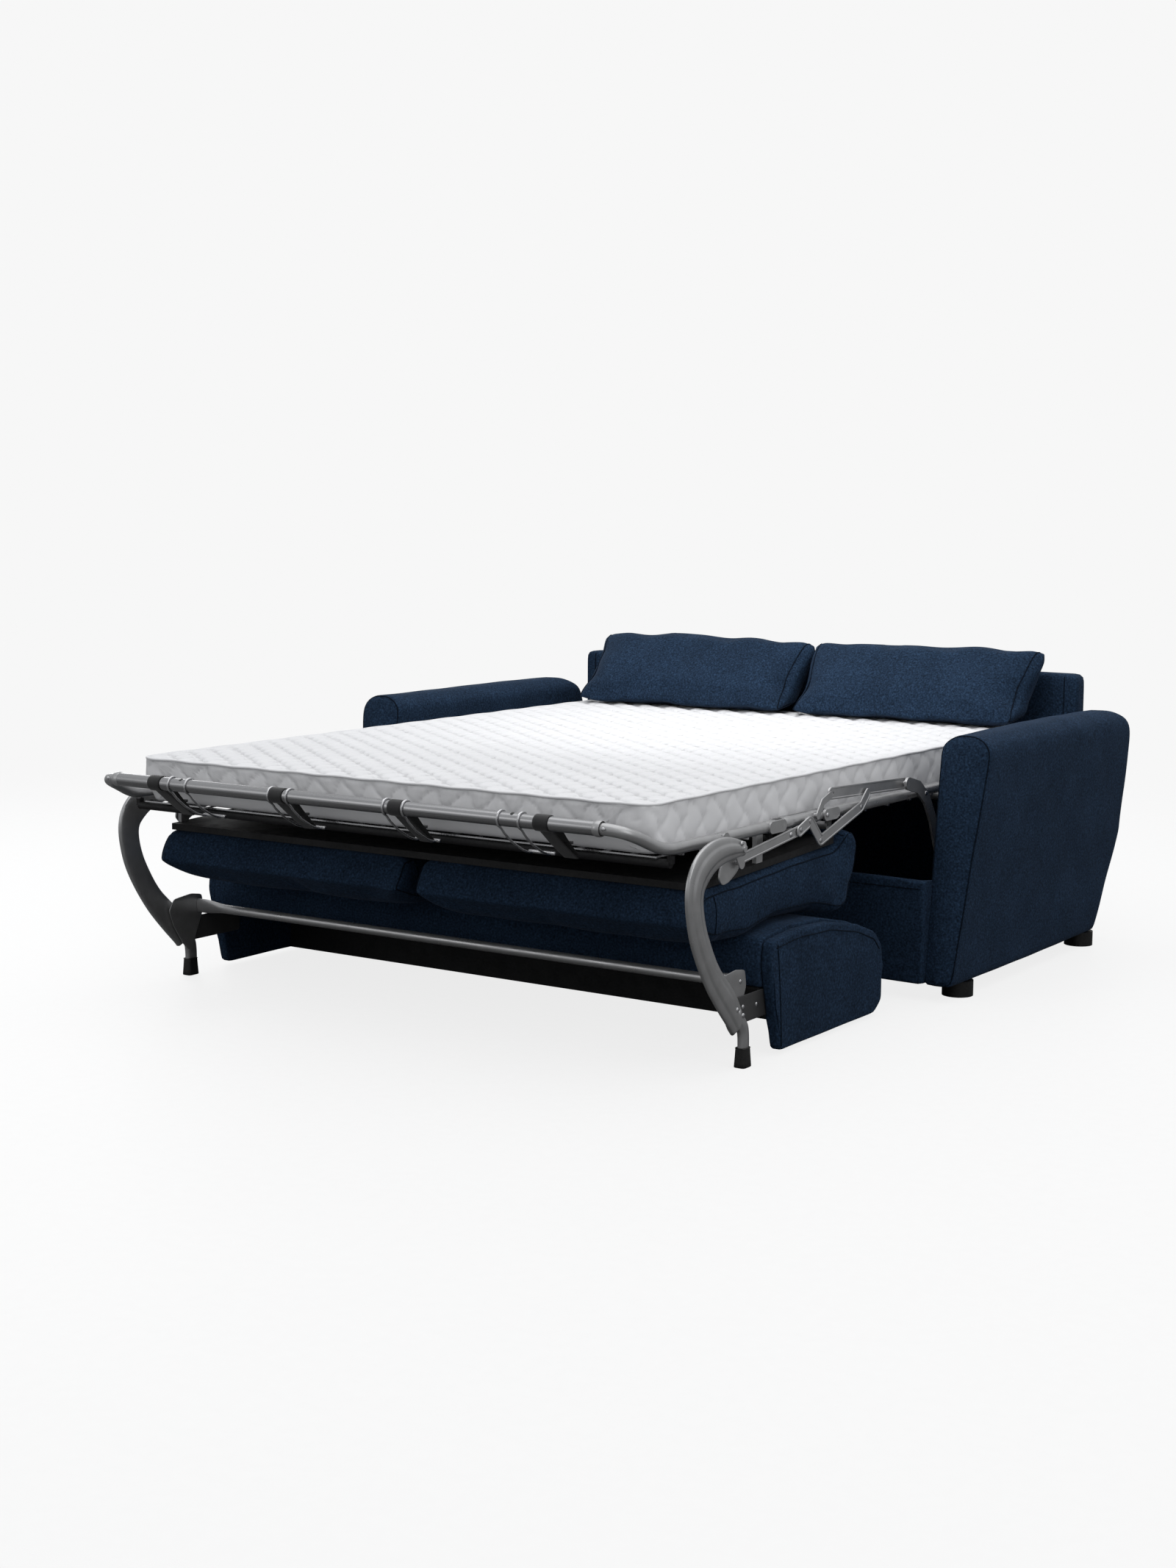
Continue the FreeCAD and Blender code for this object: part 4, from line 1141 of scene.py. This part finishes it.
# ---------------------------------------------------------------- metalwork
class SOFABED_OT_front_tube(bpy.types.Operator):
    """Sleeves, screws and painted shade of drilled holes on the front tube, webbing straps and wire hooks"""
    bl_idname = "sofabed.front_tube"
    bl_label = "Front tube, straps and hooks"

    def execute(self, context):
        self.sleeves()
        self.straps()
        self.wires()
        return {"FINISHED"}

    def sleeves(self):
        """Sleeve at each end of the bright tube, with a small screw, and black discs as painted shade where
        holes are drilled.
        """
        x = np.linspace(BOW_HALF - 7.0, BOW_HALF + 9.0, 6)
        flare = 0.001 * (BOW_R + np.array([0.2, 1.3, 1.6, 1.6, 1.3, 0.2]))
        sleeve = swept(place(x, BOW_Y, BOW_Z), UPWARD, flare, flare, sides=32, ends=False)
        painted("bow_sleeves", both_sides([sleeve]), "foot")
        screws = domes([place(s * (BOW_HALF + 20.0), BOW_Y - BOW_R - 0.2, BOW_Z + 2.0) for s in (-1, 1)],
                       0.0042, 0.0022, (0.0, -1.0, 0.0))
        bright("bow_screws", screws, "foot")
        # painted shade: low black domes on the tube stand for the dark inside of drilled holes; no hole is
        # cut
        holes = domes([place(x_hook + 5.0, BOW_Y - 6.0, BOW_Z + BOW_R * 0.9) for x_hook in HOOKS],
                      0.0048, 0.0009, (0.0, -0.4, 0.917))
        settle(piece("bow_hole_shades", holes, finish_for("rubber_black")), "foot", "rubber_black")

    def straps(self):
        """Each strap is a flat band round the tube, its two legs drawn back together to the mat through
        a flat lock."""
        bands = []
        for x in STRAPS:
            turn = np.linspace(-0.35 * np.pi, 1.12 * np.pi, 40)
            r = BOW_R + 1.6
            loop_y, loop_z = BOW_Y - r * np.sin(turn), BOW_Z + r * np.cos(turn)
            y = np.r_[HOOK_Y - 6.0, -300.0, loop_y, -312.0, HOOK_Y - 9.0]
            z = np.r_[HOOK_Z + 2.0, 486.0, loop_z, 478.0, HOOK_Z - 3.0]
            line = eased(np.stack([y, z], -1), 3.0, 3.5)
            bands.append(swept(place(x, line[:, 0], line[:, 1]), (1.0, 0.0, 0.0), 0.001 * STRAP_THIN,
                               0.001 * STRAP_HALF, sides=12, power=5.0))
            lock = place(np.linspace(x - 20.0, x + 20.0, 6), -292.0, 481.0)
            bands.append(swept(lock, UPWARD, 0.005, 0.0032, sides=12, power=4.0))
        made = piece("front_strap_webbing", bands, finish_for("webbing_black"))
        settle(made, "foot", "webbing_black", "front_straps")

    def wires(self):
        """Each hook is one bent wire: up from its clamp, over the tube and down again, twice."""
        wires, clamps = [], []
        for x in HOOKS:
            for aside in (-WIRE_GAP, WIRE_GAP):
                turn = np.linspace(-0.62 * np.pi, 0.95 * np.pi, 26)
                r = BOW_R + 2.4
                y = np.r_[BOW_Y - r * np.sin(turn), [-352.0, -324.0, -288.0, -270.0, HOOK_Y]]
                z = np.r_[BOW_Z + r * np.cos(turn), [497.0, 474.0, 454.0, 448.0, HOOK_Z - 1.0]]
                line = eased(np.stack([y, z], -1), 3.0, 4.0)
                lean = np.linspace(0.0, 1.0, len(line)) ** 2
                middle = place(x + aside - 0.12 * aside * lean, line[:, 0], line[:, 1])
                wires.append(swept(middle, (1.0, 0.0, 0.0), 0.001 * WIRE_R, 0.001 * WIRE_R, sides=10))
            bar_x = np.linspace(x - 31.0, x + 31.0, 8)
            clamps.append(swept(place(bar_x, HOOK_Y, HOOK_Z), UPWARD, 0.0048, 0.0040, sides=12))
        bright("hook_wires", wires, "foot", "front_hooks")
        bright("hook_clamps", clamps, "foot")


class SOFABED_OT_legs(bpy.types.Operator):
    """Curved pressed legs, their boots, cross bar and plates"""
    bl_idname = "sofabed.legs"
    bl_label = "Legs"

    def execute(self, context):
        middle, half = self.curve()
        shank = eased([(-44.0, 118.0), (-30.0, 98.0), (-14.0, 84.0), (-11.0, 60.0), (-11.0, 24.0)], 5.0, 9.0)
        for side, name in ((1.0, "leg_right"), (-1.0, "leg_left")):
            facing = (side, 0.0, 0.0)
            upper = swept(place(side * LEG_X, middle[:, 0], middle[:, 1]), facing, half * 0.001,
                          0.001 * LEG_THICK, sides=72, power=3.4, rib=0.40)
            lower = swept(place(side * LEG_X, shank[:, 0], shank[:, 1]), facing, 0.001 * SHANK_HALF,
                          0.001 * SHANK_THICK, sides=28, power=3.0, rib=0.2)
            painted(name + "_tube", [upper, lower], "backrest", name, crease=60.0)
        self.boots()
        self.bar()
        self.plates()
        return {"FINISHED"}

    def curve(self):
        """Middle line and half width of a leg's curved part, half-way between its outer and its inner
        edge; the inner edge is drawn in by up to 24% along the middle, and both are averaged."""
        share = np.linspace(0.0, 1.0, 90)
        outer, inner = [
            np.stack([np.interp(share, np.linspace(0, 1, len(edge)), edge[:, k]) for k in (0, 1)], -1)
            for edge in (eased(LEG_OUTER, 7.0, 12.0), eased(LEG_INNER, 7.0, 12.0))]
        slim = 0.24 * smooth((share - 0.24) / 0.16) * smooth((0.80 - share) / 0.16)
        inner = inner + slim[:, None] * (outer - inner)
        middle = 0.5 * (outer + inner)
        half = 0.5 * np.linalg.norm(outer - inner, axis=1)
        middle = np.stack([np.convolve(np.pad(middle[:, k], 3, "reflect", reflect_type="odd"),
                                       np.ones(7) / 7, mode="valid") for k in (0, 1)], -1)
        half = np.convolve(np.pad(half, 4, "edge"), np.ones(9) / 9, mode="valid")
        return middle[:LEG_STEPS], half[:LEG_STEPS]

    def boots(self):
        """Rubber boots: rounded blocks that widen to the floor, with a lip at the top. Half widths go
        with heights; a boot is 0.78 times as thick as it is wide."""
        low, high = drawn_box("rubber_boots")
        y, top = 0.5 * (low[1] + high[1]), high[2]
        z = np.array([0.35, 1.6, 10.0, 20.0, 30.0, 38.0, 40.0, 40.6, top])
        wide = np.array([16.9, 17.8, 17.2, 16.4, 15.7, 15.2, 15.0, 16.2, 14.9])
        grids = [capped(swept(place(side * LEG_X, y, z), (side, 0.0, 0.0), wide * 0.001, wide * 0.00078,
                              sides=32, power=4.5, ends=False)) for side in SIDES]
        settle(piece("boots", grids, finish_for("rubber_black"), crease=50.0), "backrest", "rubber_black",
               "rubber_boots")

    def bar(self):
        """Cross bar between the legs: a tube pressed flat at both ends."""
        low, high = drawn_box("leg_cross_bar")
        _, y, z = 0.5 * (low + high)
        reach = high[0]
        x = np.concatenate([np.linspace(-reach, -reach + 110, 14), np.linspace(-reach + 160, reach - 160, 20),
                            np.linspace(reach - 110, reach, 14)])
        flat = smooth((np.abs(x) - (reach - 95.0)) / 70.0)
        wide, thick = (11.0 + 6.0 * flat) * 0.001, (11.0 - 6.0 * flat) * 0.001
        tube = swept(place(x, y, z), (0.0, 1.0, 0.0), wide, thick, sides=28, ends=False)
        painted("leg_bar", [capped(tube)], "backrest", "leg_cross_bar")

    def plates(self):
        """Knee plates, box brackets and lever ears: flat pressings with rounded corners, each between
        two distances from the middle."""
        knee = [(-98, 172), (-80, 198), (-22, 204), (14, 198), (20, 164), (-4, 110), (-20, 70), (-34, 66),
                (-52, 84), (-82, 130)]
        strap = [(-40, 146), (150, 146), (150, 88), (-28, 88), (-40, 102)]
        ear = [(-52, 472), (-16, 472), (2, 446), (6, 418), (-10, 403), (-42, 387), (-66, 384), (-80, 398),
               (-76, 420), (-58, 442)]
        painted("knee_plates", self.plate(knee, ((-84, 150), (10, 150)), 767.3, 770.0), "backrest",
                "leg_gussets")
        brackets = self.plate(strap, ((-40, 118), (150, 118)), 770.2, 773.4)
        settle(piece("box_brackets", brackets, finish_for("bracket_grey")), "backrest", "foot_black")
        rivets("bracket_rivets", "backrest", [(773.0, 2.0, 122.0), (773.0, 58.0, 118.0),
                                              (769.6, -4.0, 176.0)], 0.0054, 0.0024)
        ears = self.plate(ear, ((-34, 474), (-68, 384)), 757.0, 761.0)
        settle(piece("lever_ears", ears, finish_for("link_steel")), "backrest", "link_steel")

    def plate(self, outline, tips, x0, x1):
        """A flat plate on each side, with edges rounded by 0.9 mm."""
        rings, along = padded_form(ring(outline, 4.0, 4.5, tips), x0, x1, 3.0, (0.9, 0.9), (0.0, 0.0), 0.0, 5)
        return [place(side * along, rings.real, rings.imag) for side in SIDES]


def capsule(route, width, x_face, thick, dish=1.1):
    """A pressed flat bar: its outline is a run of round-ended straights; its face has a rolled lip round
    the edge and is dished inside it. Rings shrink from the outline to its middle line."""
    path = eased(np.asarray(route, float), 4.0, 3.0)
    tangent = np.gradient(path, axis=0)
    tangent /= np.linalg.norm(tangent, axis=1)[:, None]
    across = np.stack([-tangent[:, 1], tangent[:, 0]], -1)
    turn = np.linspace(0.0, np.pi, 13)[1:-1]
    offsets, centres = [across], [path]
    for end, step in ((-1, 1.0), (0, -1.0)):
        t, n = tangent[end] * step, across[end] * step
        offsets.append(np.cos(turn)[:, None] * n + np.sin(turn)[:, None] * t)
        centres.append(np.repeat(path[end][None], len(turn), 0))
        if end == -1:
            offsets.append(-across[::-1])
            centres.append(path[::-1])
    centre, offset = np.concatenate(centres), np.concatenate(offsets)
    r = 0.5 * width
    steps = [(0.0, thick - dish), (max(r - 4.6, 0.3 * r), thick - dish), (r - 3.2, thick), (r - 1.2, thick),
             (r - 0.3, thick - 0.3), (r, thick - 1.0), (r, 0.4), (r - 0.4, 0.0), (r - 3.0, 0.0), (0.0, 0.0)]
    grid = []
    for reach, rise in steps:
        spot = centre + offset * reach
        grid.append(place(x_face + rise * (1.0 if x_face > 0 else -1.0), spot[:, 0], spot[:, 1]))
    return np.array(grid)


class SOFABED_OT_links(bpy.types.Operator):
    """Pressed link bars and their rivets"""
    bl_idname = "sofabed.links"
    bl_label = "Link bars"

    def execute(self, context):
        # name, route, width, distance of the inner face from the middle, thickness
        bars = (("upper_rods", [(775, 507), (417, 521)], 28.0, 746.0, 4.6),
                ("leg_rods", [(-10, 423), (266, 456)], 23.2, 749.6, 3.6),
                ("bent_links", [(266, 456), (312, 472), (360, 424), (549, 477), (580, 504)], 25.0, 753.4,
                 3.4))
        for name, route, width, face, thick in bars:
            grids = [capsule(route, width, side * face, thick) for side in SIDES]
            made = piece(name + "_bars", grids, finish_for("link_steel"), crease=35.0)
            settle(made, name, "link_steel", name)
        radius = context.scene.sofabed_metal.rivet
        # body, distance of the face from the middle, height of the heads, (y, z) of each
        for body, face, height, spots in (
                ("backrest", 791.5, 0.0026, [(-33, 457), (-42, 470), (-52, 128), (-28, 112)]),
                ("link", 750.0, 0.0026, [(417, 521), (400, 475)]),
                ("leg_rods", 752.4, 0.0026, [(-10, 423), (232, 452)]),
                ("bent_links", 756.0, 0.0012, [(270, 458), (312, 472), (360, 424), (549, 477)]),
                ("middle", 750.0, 0.0026, [(1080, 475)]),
                ("upper_rods", 750.0, 0.0026, [(775, 507)]),
                ("swing", 764.0, 0.0026, [(865, 475)])):
            rivets("rivets_" + body, body, [(face, y, z) for y, z in spots], radius, height)
        return {"FINISHED"}


class SOFABED_OT_rails(bpy.types.Operator):
    """Collars where the side rails meet"""
    bl_idname = "sofabed.rails"
    bl_label = "Rail collars"

    def execute(self, context):
        collars = {"foot": ((150.0, 186.0),), "link": ((226.0, 262.0), (344.0, 380.0)),
                   "middle": ((420.0, 456.0), (1024.0, 1060.0))}
        radius = 0.001 * (RAIL_R + np.array([0.1, 1.0, 1.3, 1.3, 1.3, 1.3, 1.0, 0.1]))
        for body, spans in collars.items():
            grids = [swept(place(RAIL_X, np.linspace(y0, y1, 8), RAIL_Z), UPWARD, radius, radius, sides=28,
                           ends=False) for y0, y1 in spans]
            painted("rail_collars_" + body, both_sides(grids), body)
        return {"FINISHED"}


class SOFABED_PT_panel(bpy.types.Panel):
    """Steps of the sofa bed, in order"""
    bl_idname = "SOFABED_PT_panel"
    bl_label = "Sofa Bed"
    bl_space_type = "VIEW_3D"
    bl_region_type = "UI"
    bl_category = "Sofa Bed"

    def draw(self, context):
        for operator in STEPS:
            self.layout.operator(operator.bl_idname)
        for group in (context.scene.sofabed_stage, context.scene.sofabed_cover,
                      context.scene.sofabed_mattress, context.scene.sofabed_metal):
            for key in group.bl_rna.properties.keys():
                if key not in ("rna_type", "name"):
                    self.layout.prop(group, key)


STEPS = (SOFABED_OT_stage, SOFABED_OT_finishes, SOFABED_OT_arms, SOFABED_OT_back, SOFABED_OT_seat_cushions,
         SOFABED_OT_back_cushions, SOFABED_OT_backrest, SOFABED_OT_mattress, SOFABED_OT_front_tube,
         SOFABED_OT_legs, SOFABED_OT_links, SOFABED_OT_rails)
GROUPS = {"sofabed_stage": StageSettings, "sofabed_cover": CoverSettings,
          "sofabed_mattress": MattressSettings, "sofabed_metal": MetalSettings}


def register():
    """Registers the settings, the steps and the panel."""
    for group in (*GROUPS.values(), *STEPS, SOFABED_PT_panel):
        bpy.utils.register_class(group)
    for key, group in GROUPS.items():
        setattr(bpy.types.Scene, key, PointerProperty(type=group))


def unregister():
    """Takes all of them away again."""
    for key in GROUPS:
        delattr(bpy.types.Scene, key)
    for group in (SOFABED_PT_panel, *STEPS[::-1], *GROUPS.values()):
        bpy.utils.unregister_class(group)


def main():
    """Runs every step in order."""
    register()
    for operator in STEPS:
        getattr(bpy.ops.sofabed, operator.bl_idname.split(".")[1])()


if __name__ == "__main__":
    main()
